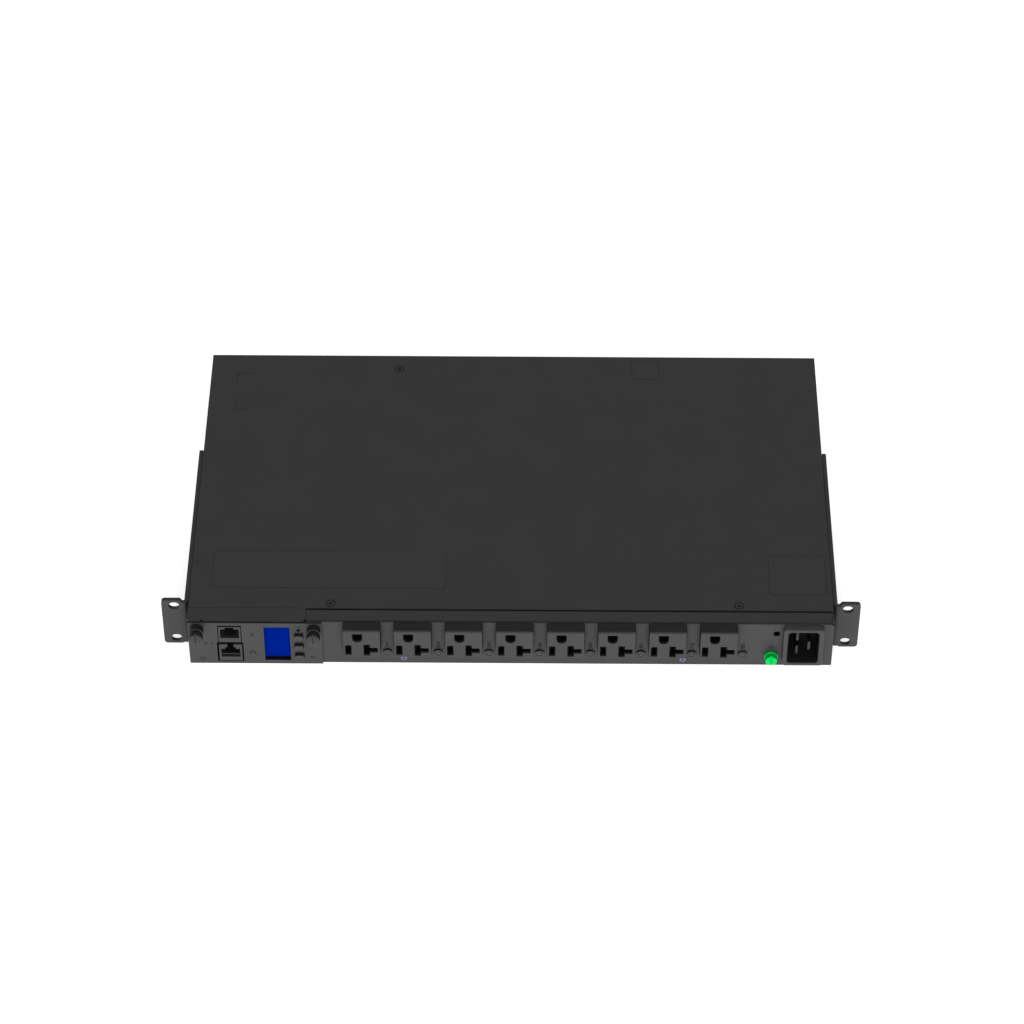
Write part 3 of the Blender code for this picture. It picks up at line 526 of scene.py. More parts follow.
# Blender adds a number to a name that the CAD's own materials have already taken.
LOOKS = {material.name.partition(".")[0]: material for material in (
    powder_coat("chassis_paint", PAINT, 0.52),
    # Painted shade: the faceplate's edges and the ledges of its openings are much darker than its face.
    powder_coat("faceplate_paint", PAINT, 0.52, sides=0.1),
    powder_coat("bracket_paint", CHARCOAL, 0.54),
    # Painted shade: the outlets' tops and sides are much darker than their faces.
    moulded_plastic("outlet_plastic", MOULDING, 0.5, sides=0.1, specular=0.36),
    # Painted shade: the light pipe's rim and sides, turned away from the front, are near black.
    moulded_plastic("indicator_plastic", (0.023, 0.023, 0.0235), 0.45, 0.12, 0.05),
    moulded_plastic("jack_plastic", CHARCOAL, 0.45, 0.14),
    # Painted shade: the keys' tops and sides are darker than their faces.
    moulded_plastic("key_plastic", CHARCOAL, 0.48, 0.12, 0.4),
    moulded_plastic("dark_plastic", (0.003, 0.003, 0.0035), 0.5, 0.12, specular=0.12),
    # Painted shade: near black, darkest on the faces that look forward.
    moulded_plastic("inlet_recess_painted_shade", (0.003, 0.003, 0.0033), 0.5, sides=3.4, specular=0.25),
    moulded_plastic("inlet_plastic", MOULDING, 0.5),
    liquid_crystal("screen", (0.0, 0.0072, 0.128)),
    turned_metal("zinc_plate", (0.19, 0.18, 0.33), (0.24, 0.23, 0.31), 0.36),
    enamel("earth_green", (0.0, 0.42, 0.066)),
    turned_metal("black_screw", (0.028, 0.028, 0.029), (0.022, 0.022, 0.023), 0.45, 0.2),
    blackened("thumbscrew_metal", (0.031, 0.031, 0.0315), 0.42),
    # Much darker than bright plating: painted shade for the blades deep in the inlet's recess; the board's
    # legs and cans share this colour.
    drawn_metal("blade_metal", (0.08, 0.079, 0.075), 0.45),
    drawn_metal("bus_copper", (0.75, 0.38, 0.2), 0.32),
    circuit_board("circuit_board", (0.008, 0.06, 0.02)),
    smoked_lens("lens", (0.024, 0.024, 0.025)),
    vinyl_label("label", PAINT),
    printed_ink("ink", (0.004, 0.004, 0.0045)),
    # Painted shade: the contacts' brass and the jack wires' gold are kept dark for the slots and jacks they
    # sit deep in.
    drawn_metal("contact_brass", (0.1, 0.075, 0.04), 0.45),
    drawn_metal("contact_gold", (0.06, 0.042, 0.017), 0.45),
)}


# ---- pieces

def round_corners(piece, width):
    """Round every edge of a piece a little, and shade its flat faces as flat."""
    bevel = piece.modifiers.new("edges", "BEVEL")
    bevel.width = width * MM
    bevel.segments = 3
    bevel.limit_method = "ANGLE"
    bevel.angle_limit = radians(32)
    normals = piece.modifiers.new("flat faces", "WEIGHTED_NORMAL")
    normals.keep_sharp = True


def show(name, mesh, slot, body, at=(0.0, 0.0, 0.0), stands_for=(), look=None, edges=0.0):
    """Put a piece in the scene: its material, its place, its body and the nodes it stands for."""
    mesh.materials.clear()
    mesh.materials.append(LOOKS[look or slot])
    piece = new_object(name, mesh)
    piece.location = Vector(at) * MM
    mesh.shade_smooth()
    if edges:
        round_corners(piece, edges)
    else:
        mesh.set_sharp_from_angle(angle=radians(35))
    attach(piece, body)
    if stands_for:
        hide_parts(*stands_for)


def node_mesh(node):
    """A copy of a CAD node's mesh, with its flat faces whole again."""
    form = bmesh.new()
    form.from_mesh(frame["nodes"][node].data)
    bmesh.ops.remove_doubles(form, verts=form.verts, dist=0.001 * MM)
    bmesh.ops.dissolve_limit(form, angle_limit=radians(0.5), verts=form.verts, edges=form.edges)
    mesh = bpy.data.meshes.new(node)
    form.to_mesh(mesh)
    form.free()
    return mesh


def refine(node, edges, look=None):
    """The CAD node's own shape with rounded edges, in its place."""
    show(node + "_finish", node_mesh(node), SLOT_OF[node], BODY_OF[node], stands_for=(node,),
         look=look, edges=edges)


# ---- sheet metal

def sheet_metal():
    """Folded sheets and brackets, with their sheared edges broken."""
    for node in ("chassis_tray", "rear_panel", "front_panel", "bay_frame", "bay_partition",
                 "top_cover", "module_tray"):
        refine(node, 0.16)
    refine("module_faceplate", 0.16, look="faceplate_paint")
    for node in ("rack_bracket_left", "rack_bracket_right"):
        refine(node, 0.3)


def socket_screw(node):
    """Countersunk screw with a hexagon socket and a chamfered rim."""
    low, high = corners(node)
    centre = middle(node)
    radius = (high.x - low.x) / 2
    shank = 1.5
    profile = ((shank, low.z - high.z), (shank, -1.4), (radius, -0.3), (radius, -0.1), (radius - 0.12, 0.0),
               (1.95, 0.0), (1.8, -0.15))
    mesh = cut(mesh_of(node, turned(profile, "z")), prism(circle(1.5, 6), "z", -1.0, 0.5))
    show(node + "_finish", mesh, "black_screw", "chassis", (centre.x, centre.y, high.z), (node,))


def cross_screw(node):
    """Countersunk cross-head screw through a bracket's arm."""
    low, high = corners(node)
    centre = middle(node)
    side = 1 if centre.x > 0 else -1
    face = high.x if side > 0 else low.x
    length = high.x - low.x
    radius = (high.z - low.z) / 2
    profile = ((2.0, length), (2.0, 2.3), (radius, 0.22), (radius, 0.08), (radius - 0.12, 0.0))
    mesh = mesh_of(node, turned([(size, -side * depth) for size, depth in profile], "x"))
    recess = [lift(cross(1.95, 0.45), "x", side * 0.3), lift(cross(1.1, 0.32), "x", side * -1.7)]
    show(node + "_finish", cut(mesh, recess), "black_screw", "chassis", (face, centre.y, centre.z), (node,))


def panel_screw(node):
    """Domed pan-head screw with a cross recess."""
    radius = spans(node)[0] / 2
    front, back = depths(node)
    shank = 1.3
    rim = 0.9
    profile = [(shank, back), (shank, -GAP), (radius, -GAP)]
    profile += bow(radius, -rim, front + rim, range(0, 85, 12))
    recess = [lift(cross(1.35, 0.36), "y", front - 0.3), lift(cross(0.85, 0.26), "y", front + 1.0)]
    mesh = cut(mesh_of(node, turned(profile, "y")), recess)
    show(node + "_finish", mesh, "zinc_plate", "chassis", on_panel(node), (node,))


def chassis_screws():
    """Every screw of the body except the earth screw."""
    for number in range(1, 5):
        socket_screw("cover_screw_" + str(number))
    for side in ("left", "right"):
        panel_screw("panel_screw_" + side)
        for end in ("front", "rear"):
            cross_screw("bracket_screw_" + side + "_" + end)


# ---- outlets

PINS_X = -2.9          # the pin pattern's middle, from the outlet face's middle
BLADE_SPACING = 12.7
BLADES_Z = -5.95
EARTH_Z = 5.85
BODY_Z = -0.9          # the middle of the part behind the panel
# Pairs of a contact leaf's distance from its pin's middle and its depth behind the outlet's face.
BLADE_LEAF = ((1.1, 5.0), (0.45, 7.5), (0.3, 9.0), (0.5, 11.0), (0.85, 13.5))
EARTH_LEAF = ((1.95, 6.0), (1.55, 9.0), (1.85, 13.0))


def neutral_outline(grow):
    """The T-shaped slot: an upright blade slot with a bar to its right."""
    half = 1.25 + grow
    up = 4.3 + grow
    reach = 6.6 + grow
    return [(-half, -up), (half, -up), (half, -half), (reach, -half),
            (reach, half), (half, half), (half, up), (-half, up)]


def live_outline(grow):
    """The plain upright slot."""
    return rectangle((-1.2 - grow, -3.7 - grow), (1.2 + grow, 3.7 + grow))


def earth_outline(grow):
    """Round below and flat above."""
    radius = 2.55 + grow
    top = 2.95 + grow
    return [(radius, top), (-radius, top)] + arc((0.0, -0.45), radius, 180, 360, 20)


def funnel(outline_of, centre, front, floor):
    """A slot with a sloping mouth, sunk into an outlet's face."""
    wide = 1.1
    narrow = 0.25
    rings = []
    for grow, place in ((wide, front - 1.0), (wide, front), (narrow, front + 1.5), (narrow, floor)):
        outline = [(centre[0] + across, centre[1] + up) for across, up in outline_of(grow)]
        rings.append(lift(outline, "y", place))
    return rings


def outlet_mesh(front, back, size):
    """Moulded outlet with a well rounded upper edge and its three slots."""
    def face(inwards):
        lower = 0.3 * inwards
        height = size - inwards - lower
        return rounded(size - 2 * lower, height, 1.2 - lower, (0.0, (lower - inwards) / 2))

    behind = rounded(size - 2.0, size - 4.0, 1.0, (0.0, BODY_Z))
    rings = round_edge(face, front, 1.9, 8)
    rings += [lift(face(0.0), "y", -GAP), lift(behind, "y", -GAP), lift(behind, "y", back)]
    floor = front + 15.0
    live = funnel(live_outline, (PINS_X - BLADE_SPACING / 2, BLADES_Z), front, floor)
    neutral = funnel(neutral_outline, (PINS_X + BLADE_SPACING / 2, BLADES_Z), front, floor)
    earth = funnel(earth_outline, (PINS_X, EARTH_Z), front, floor)
    return cut(mesh_of("outlet", rings), live, neutral, earth)


def leaf(across, bottom, top, side, front, stations):
    """A spring leaf that bulges towards the path of a blade or pin."""
    thickness = 0.35
    rings = []
    for distance, depth in stations:
        inner = across + side * distance
        left, right = sorted((inner, inner + side * thickness))
        rings.append(lift(rectangle((left, bottom), (right, top)), "y", front + depth))
    return rings


def outlet_contact_mesh(front):
    """Spring leaves behind the two blade slots, and a clip behind the earth hole."""
    reach = 2.75
    leaves = [leaf(PINS_X + offset, BLADES_Z - reach, BLADES_Z + reach, side, front, BLADE_LEAF)
              for offset in (-BLADE_SPACING / 2, BLADE_SPACING / 2) for side in (-1, 1)]
    leaves += [leaf(PINS_X, EARTH_Z - 1.6, EARTH_Z + 2.0, side, front, EARTH_LEAF) for side in (-1, 1)]
    return mesh_of("outlet_contacts", *leaves)


def indicator_meshes(front, back, radius):
    """The round light pipe and the small lens at its centre."""
    shank = 1.9
    lens = 1.62
    rim = 0.3
    profile = [(shank, back), (shank, -GAP), (radius, -GAP), (radius, front + rim)]
    profile += bow(rim, front + rim, -rim, range(15, 91, 15), radius - rim)
    profile += [(lens + 0.42, front), (lens + 0.3, front + 0.12), (lens + 0.14, front + 0.55),
                (lens + 0.02, front + 0.55)]
    dome = [(lens, front + 0.6)] + bow(lens, front + 0.25, -0.22, range(0, 86, 12))
    return mesh_of("indicator", turned(profile, "y")), mesh_of("indicator_lens", turned(dome, "y"))


def digit_mesh(digit, height):
    """A printed digit standing on z = 0, centred across, a little proud of the panel."""
    curve = bpy.data.curves.new("digit", "FONT")
    curve.body = str(digit)
    curve.resolution_u = 6
    curve.offset = 0.035
    writing = new_object("digit", curve)
    mesh = evaluated_mesh(writing)
    bpy.data.objects.remove(writing)
    form = bmesh.new()
    form.from_mesh(mesh)
    low = [min(vertex.co[axis] for vertex in form.verts) for axis in (0, 1)]
    high = [max(vertex.co[axis] for vertex in form.verts) for axis in (0, 1)]
    size = height * MM / (high[1] - low[1])
    centre = (low[0] + high[0]) / 2
    for vertex in form.verts:
        across, up = vertex.co.x - centre, vertex.co.y - low[1]
        vertex.co = Vector((across * size * 0.9, 0.0, up * size))
    faces = bmesh.ops.extrude_face_region(form, geom=form.faces[:])["geom"]
    for item in faces:
        if isinstance(item, bmesh.types.BMVert):
            item.co.y -= 0.05 * MM
    bmesh.ops.recalc_face_normals(form, faces=form.faces)
    form.to_mesh(mesh)
    form.free()
    return mesh


def outlets():
    """The eight outlets with their contacts, indicators, lenses and printed digits."""
    front, back = depths("outlet_1")
    outlet = outlet_mesh(front, back, spans("outlet_1")[0])
    contacts = outlet_contact_mesh(front)
    pipe, lens = indicator_meshes(*depths("outlet_indicator_1"), spans("outlet_indicator_1")[0] / 2)
    digit_height = 5.3
    digit_rise = 5.05
    for number in range(1, 9):
        tag = str(number)
        node = "outlet_" + tag
        at = on_panel(node)
        show(node + "_moulding", outlet, "outlet_plastic", "chassis", at, (node,), edges=0.1)
        show(node + "_contacts", contacts, "bus_copper", "chassis", at, look="contact_brass")
        node = "outlet_indicator_" + tag
        at = on_panel(node)
        show("indicator_" + tag + "_pipe", pipe, "indicator_plastic", "chassis", at, (node,))
        show("indicator_" + tag + "_lens", lens, "indicator_plastic", "chassis", at, look="lens")
        show("outlet_" + tag + "_digit", digit_mesh(number, digit_height), None, "chassis",
             (at[0], PANEL, at[2] + digit_rise), look="ink")


# ---- inlet and wiring

def inlet():
    """Shrouded inlet housing, a near-black sheet of painted shade in its recess and its three blades."""
    width, height = spans("inlet_housing")
    front, back = depths("inlet_housing")
    at = on_panel("inlet_housing")

    def face(inwards):
        return rounded(width - 2 * inwards, height - 2 * inwards, 2.2 - inwards)

    behind = rounded(width - 3.6, height - 3.6, 2.0)
    rings = round_edge(face, front, 0.9)
    rings += [lift(face(0.0), "y", -GAP), lift(behind, "y", -GAP), lift(behind, "y", back)]
    wall = 3.25
    floor = 14.5
    across = width - 2 * wall
    up = height - 2 * wall + 0.9
    mouth = 0.45
    recess = [lift(rounded(across + 2 * grow, up + 2 * grow, 2.3 + grow), "y", place)
              for grow, place in ((mouth, front - 0.5), (mouth, front), (0.0, front + mouth), (0.0, floor))]
    shroud = cut(mesh_of("inlet", rings), recess)
    clear = 0.02
    lining = 0.2
    across -= 2 * clear
    up -= 2 * clear
    # Painted shade: a thin near-black sheet over the recess's walls and floor.
    outer = prism(rounded(across, up, 2.3), "y", front + 0.8, floor - clear)
    inner = prism(rounded(across - 2 * lining, up - 2 * lining, 2.1), "y", front, floor - lining)
    show("inlet_recess_painted_shade", cut(mesh_of("lining", outer), inner), "outlet_plastic", "chassis", at,
         look="inlet_recess_painted_shade")
    show("inlet_shroud", shroud, "outlet_plastic", "chassis", at, ("inlet_housing",),
         look="inlet_plastic", edges=0.12)
    for name in ("line", "neutral", "ground"):
        inlet_blade("inlet_pin_" + name)


def inlet_blade(node):
    """Flat blade with a rounded nose and rounded long edges."""
    width, height = spans(node)
    front, back = depths(node)

    def section(inwards):
        return rounded(width - 1.4 * inwards, height - 2 * inwards, 0.3)

    rings = round_edge(section, front, 0.6) + [lift(section(0.0), "y", back)]
    show(node + "_finish", mesh_of(node, rings), "blade_metal", "chassis", on_panel(node), (node,))


def wiring():
    """Bus bars and the relay board inside the body."""
    for node in ("line_bus", "neutral_bus", "ground_bus"):
        refine(node, 0.12)
    refine("relay_board", 0.2)


# ---- threaded screws

def threaded(root, crest, pitch, start, end, sides=28, steps=8):
    """Rings of a screw thread along y, with its helix worked out turn by turn."""
    rings = []
    count = int((end - start) / pitch * steps)
    for index in range(count + 1):
        place = start + (end - start) * index / count
        taper = min(1.0, (end - place) / pitch)
        ring = []
        for corner in range(sides):
            turn = corner / sides
            phase = (place / pitch - turn) % 1.0
            height = 1.0 - abs(2.0 * phase - 1.0)
            radius = root + (crest - root) * height * taper
            angle = 2 * pi * turn
            ring.append((radius * cos(angle), place, radius * sin(angle)))
        rings.append(ring)
    return rings


def knurled(radius, depth, ridges, places):
    """Rings with straight ridges along y, through pairs of inset and place."""
    rings = []
    for inset, place in places:
        ring = []
        for index in range(ridges * 4):
            angle = 2 * pi * index / (ridges * 4)
            dip = (0.0, depth * 0.5, depth, depth * 0.5)[index % 4]
            size = radius - inset - (dip if inset < depth * 2 else depth)
            ring.append((size * cos(angle), place, size * sin(angle)))
        rings.append(ring)
    return rings


def slotted_face(mesh, half_width, depth, front):
    """A straight upright slot across a screw's face."""
    return cut(mesh, box((-half_width, front - 1.0, -7.0), (half_width, front + depth, 7.0)))


def thumbscrew(side):
    """Knurled thumbscrew with a waist, its thread and its washer."""
    node = "thumbscrew_" + side
    washer_node = "thumbscrew_washer_" + side
    at = on_panel(node)
    front, back = depths(node)
    base = depths(washer_node)[0] - GAP
    waist = 0.8
    places = ((0.5, base), (0.0, base - 0.4), (0.0, base - 3.5), (waist, base - 3.9), (waist, base - 5.5),
              (0.0, base - 5.9), (0.0, front + 0.7), (0.25, front + 0.3), (0.7, front))
    knurls = knurled(spans(node)[0] / 2, 0.13, 36, places)
    grip = slotted_face(mesh_of("grip", knurls), 0.55, 1.5, front)
    show(node + "_grip", grip, "thumbscrew_metal", node, at, (node,))
    thread = threaded(root=1.68, crest=2.0, pitch=0.7, start=base - 0.1, end=back)
    show(node + "_thread", mesh_of("thread", thread), "zinc_plate", node, at)
    washer(washer_node, "thumbscrew_metal", at)


def washer(node, slot, at, hole=2.3):
    """Flat washer with the front edge of its rim rounded."""
    radius = spans(node)[0] / 2
    front, back = depths(node)
    rim = 0.3
    profile = [(hole, front), (radius - rim, front)]
    profile += bow(rim, front + rim, -rim, range(75, -1, -15), radius - rim)
    profile += [(radius, back), (hole, back)]
    mesh = mesh_of(node, turned(profile, "y"), hollow=True)
    show(node + "_finish", mesh, slot, node, at, (node,))


def earth_screw():
    """Green slotted screw on its washer."""
    at = on_panel("ground_screw")
    radius = spans("ground_screw")[0] / 2
    front, end = depths("ground_screw")
    back = depths("ground_washer")[0] - GAP
    rim = 0.45
    profile = [(2.0, back), (radius - 0.15, back), (radius, back - 0.15), (radius, front + rim)]
    profile += bow(rim, front + rim, -rim, range(15, 91, 15), radius - rim)
    head = slotted_face(mesh_of("head", turned(profile, "y")), 0.62, 1.4, front)
    show("ground_screw_head", head, "earth_green", "ground_screw", at, ("ground_screw",))
    thread = threaded(root=2.05, crest=2.4, pitch=0.8, start=back - 0.1, end=end)
    show("ground_screw_thread", mesh_of("thread", thread), "earth_green", "ground_screw", at)
    washer("ground_washer", "earth_green", at, 2.7)


# ---- network module

def wire_contacts(node, sill):
    """Eight gold spring wires that rise from a jack's lower lip towards its back."""
    low = corners(node)[0]
    centre = middle(node)
    count = 8
    spacing = 7.1 / (count - 1)
    rise = ((2.2, 0.25), (3.4, 0.35), (4.2, 0.75), (7.5, 2.6), (10.5, 4.2), (13.5, 4.4))
    wires = []
    for index in range(count):
        across = centre.x + (index - (count - 1) / 2) * spacing
        path = [(across, low.y + depth, low.z + sill + height) for depth, height in rise]
        wires.append(tube(path, 0.2))
    show(node + "_wires", mesh_of(node + "_wires", *wires), "bus_copper", "module", look="contact_gold")


def jacks():
    """Both jacks with their spring wires, and the rail in the lower one."""
    sills = {"sensor_jack": 4.0, "ethernet_jack": 3.8}
    for node in sills:
        refine(node, 0.14)
    for node, sill in sills.items():
        wire_contacts(node, sill)
    low = corners("ethernet_jack")[0]
    centre = middle("ethernet_jack")
    base = low.z + 5.5
    rail = box((centre.x - 6.4, low.y + 0.9, base), (centre.x + 6.4, low.y + 1.7, base + 0.55))
    show("ethernet_jack_rail", mesh_of("rail", rail), "jack_plastic", "module", edges=0.06)


def display():
    """Black display body with the blue screen set back in it."""
    refine("display", 0.15, look="dark_plastic")
    low, high = corners("display")
    rim = 1.2
    chin = 2.2
    screen = PLATE + 3.0
    outline = rectangle((low.x + rim, low.z + chin), (high.x - rim, high.z - rim))
    mesh = mesh_of("screen", prism(outline, "y", screen - 0.12, screen + 0.2))
    show("display_screen", mesh, "screen", "module", edges=0.03)


def key_mesh(node):
    """Key with rounded edges and a shallow dish in its face."""
    lip = 0.7
    width, height = [size - 2 * lip for size in spans(node)]
    front, back = depths(node)
    plate_back = depths("module_faceplate")[1] + GAP

    def section(inwards):
        return rounded(width - 2 * inwards, height - 2 * inwards, max(0.9 - inwards, 0.25))

    rings = [lift(section(1.35), "y", front + 0.16), lift(section(0.75), "y", front + 0.05)]
    rings += round_edge(section, front, 0.4)
    rings += [lift(section(inwards), "y", place) for inwards, place in (
        (0.0, plate_back), (-lip, plate_back), (-lip, plate_back + 1.0), (1.5, plate_back + 1.0),
        (1.5, back))]
    return mesh_of("key", rings)


def keys():
    """The three keys, the reset pin and the status lamp."""
    mesh = key_mesh("scroll_button")
    for name in ("scroll_button", "select_button", "menu_button"):
        show(name + "_cap", mesh, "key_plastic", name, on_panel(name), (name,))
    refine("reset_button", 0.15)
    front, back = depths("status_led")
    plate_back = depths("module_faceplate")[1] + GAP
    profile = bow(1.0, front + 0.5, -0.5, range(85, -1, -17))
    profile += [(1.0, plate_back), (1.55, plate_back), (1.55, back)]
    show("status_led_lens", mesh_of("status", turned(profile, "y", 32)), "dark_plastic", "module",
         on_panel("status_led"), ("status_led",))


def chip(low, high):
    """The rings of a chip's body with a narrower top and foot."""
    centre = ((low[0] + high[0]) / 2, (low[1] + high[1]) / 2)
    width = high[0] - low[0]
    depth = high[1] - low[1]
    levels = ((0.25, low[2]), (0.0, low[2] + 0.4 * (high[2] - low[2])), (0.3, high[2]))
    return [lift(rounded(width - 2 * less, depth - 2 * less, 0.25, centre, 2), "z", level)
            for less, level in levels]


def chip_legs(low, high, count):
    """Gull-wing legs along a chip's two long sides."""
    legs = []
    for side, edge in ((-1, low[0]), (1, high[0])):
        for index in range(count):
            along = low[1] + (high[1] - low[1]) * (index + 0.5) / count
            ends = sorted((edge - side * 0.3, edge + side * 1.0))
            legs.append(box((ends[0], along - 0.2, low[2] - 0.1), (ends[1], along + 0.2, low[2] + 0.15)))
    return legs


def module_board():
    """Circuit board with chips, capacitors, a power block and its rear plug."""
    low, high = corners("module_board")
    left, right = low.x, high.x
    front = low.y
    plug_back = high.y
    back = plug_back - 1.5
    top = low.z + 1.6
    centre = (left + right) / 2
    plate = prism(rounded(right - left, back - front, 1.5, (centre, (front + back) / 2)), "z", low.z, top)
    show("module_board_plate", mesh_of("board", plate), "circuit_board", "module",
         stands_for=("module_board",), edges=0.1)
    seat = top + 0.1
    chips = (((left + 18.8, front + 38.0, seat), (left + 34.8, front + 54.0, top + 2.0), 16),
             ((left + 40.8, front + 38.0, seat), (left + 52.8, front + 50.0, top + 1.6), 11),
             ((left + 10.8, front + 68.0, seat), (left + 24.8, front + 78.0, top + 1.4), 9))
    bodies = [chip(first, second) for first, second, _count in chips]
    block = ((left + 3.8, front + 4.0, seat), (left + 26.8, front + 18.0, top + 11.0))
    bodies.append(chip(*block))
    plug_centre = centre + 3.0
    bodies.append(chip((plug_centre - 16.0, back - 9.0, seat), (plug_centre + 16.0, plug_back, top + 8.0)))
    show("module_board_chips", mesh_of("chips", *bodies), "dark_plastic", "module", edges=0.12)
    legs = [leg for first, second, count in chips for leg in chip_legs(first, second, count)]
    show("module_board_legs", mesh_of("legs", *legs), "blade_metal", "module")
    cans = []
    for across, along in ((40.0, 10.0), (48.5, 10.0), (57.0, 10.0), (57.0, 62.0), (38.0, 68.0)):
        profile = ((3.0, seat), (3.2, seat + 0.3), (3.2, seat + 1.0), (2.95, seat + 1.3), (3.2, seat + 1.6),
                   (3.2, top + 7.4), (2.9, top + 7.8))
        cans.append(turned(profile, "z", 28, (left + across, front + along)))
    show("module_board_cans", mesh_of("cans", *cans), "blade_metal", "module", edges=0.1)


# ---- prints and labels

def strokes(lines, width, centre, size, face):
    """Thin raised strips along polylines, drawn about a centre on an upright face."""
    strips = []
    half = width / 2
    for points in lines:
        for first, second in zip(points, points[1:]):
            start = Vector(first) * size
            end = Vector(second) * size
            along = (end - start).normalized()
            side = Vector((-along.y, along.x)) * half
            start -= along * half * 0.8
            end += along * half * 0.8
            outline = [start - side, end - side, end + side, start + side]
            outline = [(centre[0] + point.x, centre[1] + point.y) for point in outline]
            strips.append(prism(outline, "y", face - 0.05, face))
    return strips


def loop(centre, radius, start=0, end=360):
    """A round polyline."""
    return arc(centre, radius, start, end, 16)


SMALL_BOX = ((0.0, 0.0), (1.0, 0.0), (1.0, 0.8), (0.0, 0.8), (0.0, 0.0))
PICTOGRAMS = {
    "network": [[(x + across, y + up) for across, up in SMALL_BOX]
                for x, y in ((-0.5, 0.6), (-2.1, -1.4), (1.1, -1.4))]
               + [[(0.0, 0.6), (0.0, 0.0)], [(-1.6, -0.6), (-1.6, 0.0), (1.6, 0.0), (1.6, -0.6)]],
    "sensor": [loop((0.0, -1.0), 0.6, -60, 240), [(-0.3, -0.5), (-0.3, 1.3), (0.3, 1.3), (0.3, -0.5)],
               [(0.9, 1.1), (1.5, 1.1)], [(0.9, 0.5), (1.5, 0.5)]],
    "status": [[(-2.2, 0.0), (-0.8, 0.0), (-0.3, 0.9), (0.4, -0.9), (0.8, 0.0), (2.2, 0.0)]],
    "select": [[(-1.4, 0.0), (-0.5, -0.9), (1.4, 1.0)]],
    "menu": [[(-1.5, level), (1.5, level)] for level in (-0.8, 0.0, 0.8)],
    "reset": [loop((0.0, 0.0), 1.0, 60, 350), [(0.2, 1.4), (0.5, 0.85), (-0.05, 0.45)]],
    "console": [[(-1.8, -0.6), (1.8, -0.6), (1.8, 1.4), (-1.8, 1.4), (-1.8, -0.6)],
                [(-0.9, -1.2), (0.9, -1.2)], [(0.0, -0.6), (0.0, -1.2)]],
    "earth": [[(0.0, 1.2), (0.0, 0.0)], [(-1.2, 0.0), (1.2, 0.0)], [(-0.75, -0.5), (0.75, -0.5)],
              [(-0.3, -1.0), (0.3, -1.0)]],
}


def print_mark(name, pictogram, centre, size, face, body):
    """One printed pictogram on an upright face."""
    strips = strokes(PICTOGRAMS[pictogram], 0.32, centre, size, face)
    show(name, mesh_of(name, *strips), None, body, look="ink")


def module_marks():
    """Pictograms beside the jacks, keys and lamp."""
    sensor = middle("sensor_jack")
    network = middle("ethernet_jack")
    plate = corners("module_faceplate")[0]
    reset = middle("reset_button")
    key = corners("select_button")[1].x
    places = (
        ("sensor", (sensor.x + 15.3, sensor.z + 0.6), 1.15),
        ("network", (network.x + 15.3, network.z + 1.0), 1.2),
        ("status", (middle("status_led").x, middle("status_led").z + 3.1), 0.85),
        ("select", (key + 5.0, middle("select_button").z - 2.6), 0.9),
        ("menu", (key + 5.0, middle("menu_button").z - 1.6), 0.9),
        ("reset", (reset.x - 4.6, reset.z), 0.95),
        ("console", (plate.x + 9.0, plate.z + 4.6), 1.0),
    )
    for pictogram, centre, size in places:
        print_mark("mark_" + pictogram, pictogram, centre, size, PLATE, "module")


def label_plate(name, low, high, radius, thickness=0.12):
    """A thin label stuck to the cover's upper face, in a darker printed border."""
    centre = ((low[0] + high[0]) / 2, (low[1] + high[1]) / 2)
    size = (high[0] - low[0], high[1] - low[1])
    rings = [lift(rounded(size[0] - 2 * less, size[1] - 2 * less, radius, centre), "z", TOP + level)
             for less, level in ((0.0, 0.0), (0.0, thickness * 0.6), (0.03, thickness))]
    show(name, mesh_of(name, rings), None, "chassis", look="label")
    outer = [lift(rounded(size[0] + 0.5, size[1] + 0.5, radius + 0.25, centre), "z", TOP + level)
             for level in (0.0, 0.05)]
    inner = [lift(rounded(size[0] - 0.3, size[1] - 0.3, radius - 0.15, centre), "z", TOP + level)
             for level in (0.05, 0.0)]
    show(name + "_border", mesh_of(name, outer + inner, hollow=True), None, "chassis", look="ink")


def cover_line(first, second, width=0.4):
    """A thin printed line on the cover's upper face."""
    half = width / 2
    low = (min(first[0], second[0]) - half, min(first[1], second[1]) - half, TOP)
    high = (max(first[0], second[0]) + half, max(first[1], second[1]) + half, TOP + 0.04)
    return box(low, high)


def cover_labels():
    """Blank labels on the cover, and the two printed corner marks."""
    label_plate("label_front_left", (-207.6, PANEL + 32.2), (-45.4, PANEL + 67.2), 2.0)
    label_plate("label_front_right", (179.3, PANEL + 27.8), (218.4, PANEL + 65.5), 2.0)
    screw = middle("cover_screw_4")
    half = 9.7
    label_plate("label_over_screw", (screw.x - half, screw.y - half), (screw.x + half, screw.y + half), 0.6)
    lines = []
    for across, along, width, length in ((-203.05, PANEL + 251.95, 11.1, -9.2),
                                         (-202.3, PANEL + 213.0, 10.6, 10.7)):
        lines.append(cover_line((across, along), (across + width, along)))
        lines.append(cover_line((across, along), (across, along + length)))
    show("cover_corner_marks", mesh_of("marks", *lines), None, "chassis", look="ink")


def earth_mark():
    """The printed earth symbol above the green screw."""
    centre = middle("ground_screw")
    print_mark("mark_earth", "earth", (centre.x, centre.z + 8.4), 1.5, PANEL, "chassis")


# ---- stage

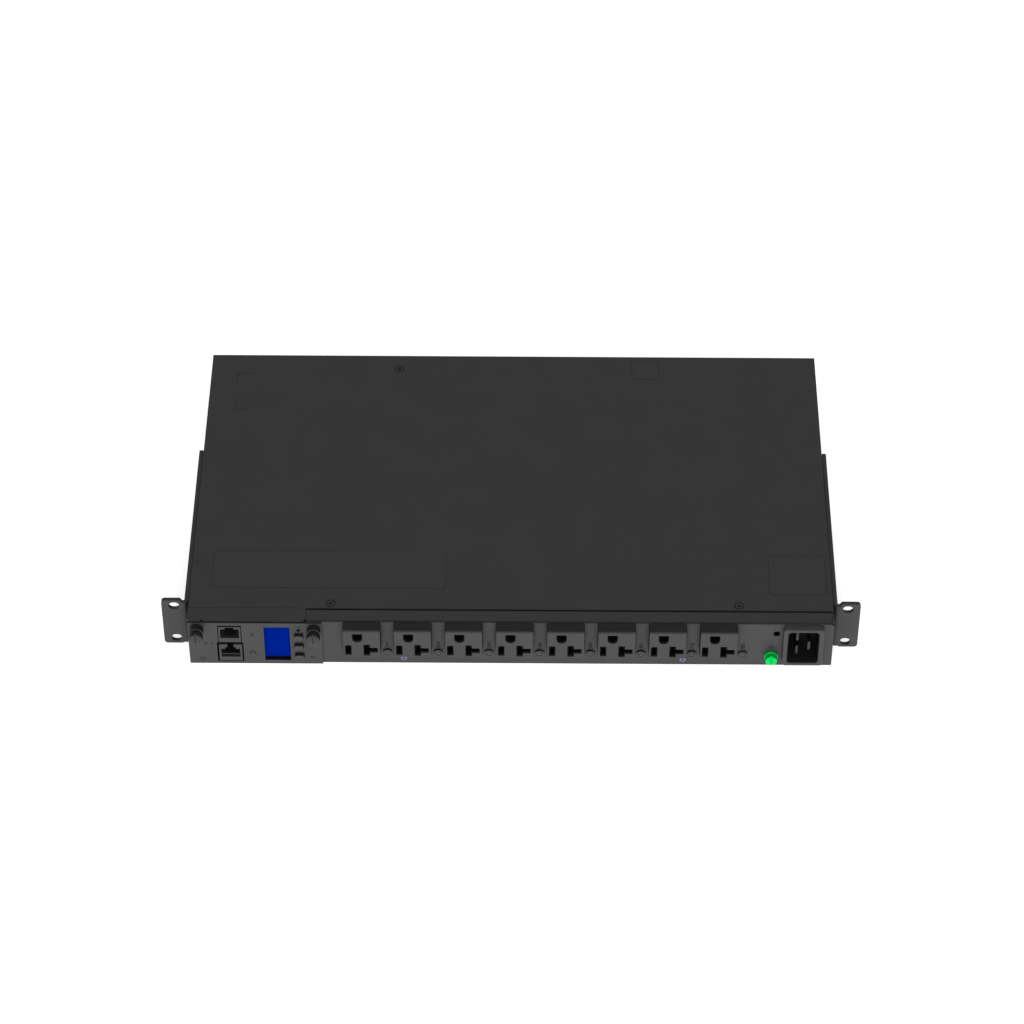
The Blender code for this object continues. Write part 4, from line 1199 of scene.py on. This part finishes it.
def floor():
    """Pale, faintly mottled studio floor."""
    material, tree, shader, place = start_material("floor")
    cloud = noise(tree, place, 900.0, 2.0)
    base = blend_colours(tree, spread(tree, cloud, 0.0, 1.0), (0.9, 0.9, 0.9), (0.93, 0.93, 0.93))
    connect(tree, shader, base, 0.9, specular=0.1)
    tree.links.new(base, shader.inputs["Emission Color"])
    shader.inputs["Emission Strength"].default_value = 0.7
    reach = 30000.0
    mesh = mesh_of("floor", box((-reach, -reach, -20.0), (reach, reach, -0.2)))
    mesh.materials.append(material)
    piece = new_object("floor", mesh)


def area_light(name, place, target, size, power):
    """A soft square lamp aimed at a point, which reflections leave out."""
    lamp = bpy.data.lights.new(name, "AREA")
    lamp.shape = "SQUARE"
    lamp.size = size * MM
    lamp.energy = power
    item = new_object(name, lamp)
    item.location = Vector(place) * MM
    item.rotation_euler = (Vector(target) - Vector(place)).to_track_quat("-Z", "Y").to_euler()
    item.visible_glossy = False


def lights():
    """White surroundings with a broad frontal lamp."""
    world = bpy.data.worlds.new("studio")
    world.use_nodes = True
    world.node_tree.nodes["Background"].inputs["Color"].default_value = (1.0, 1.0, 1.0, 1.0)
    world.node_tree.nodes["Background"].inputs["Strength"].default_value = 0.5
    bpy.context.scene.world = world
    area_light("front", (150.0, -3300.0, 850.0), (0.0, 0.0, 20.0), 2000.0, 138.0)


def camera():
    """A long lens in front of the strip and above it."""
    lens = bpy.data.cameras.new("camera")
    lens.lens = 126.37
    lens.clip_end = 100.0
    item = new_object("camera", lens)
    item.location = Vector((15.05, -1833.88, 1823.3)) * MM
    item.rotation_euler = (radians(90 - 44.52), 0.0, radians(0.472))
    bpy.context.scene.camera = item


def stage():
    """Floor, lights and camera."""
    bpy.context.scene.view_settings.view_transform = "Standard"
    floor()
    lights()
    camera()


sheet_metal()
chassis_screws()
outlets()
inlet()
wiring()
for screw_side in ("left", "right"):
    thumbscrew(screw_side)
earth_screw()
jacks()
display()
keys()
module_board()
module_marks()
cover_labels()
earth_mark()
stage()
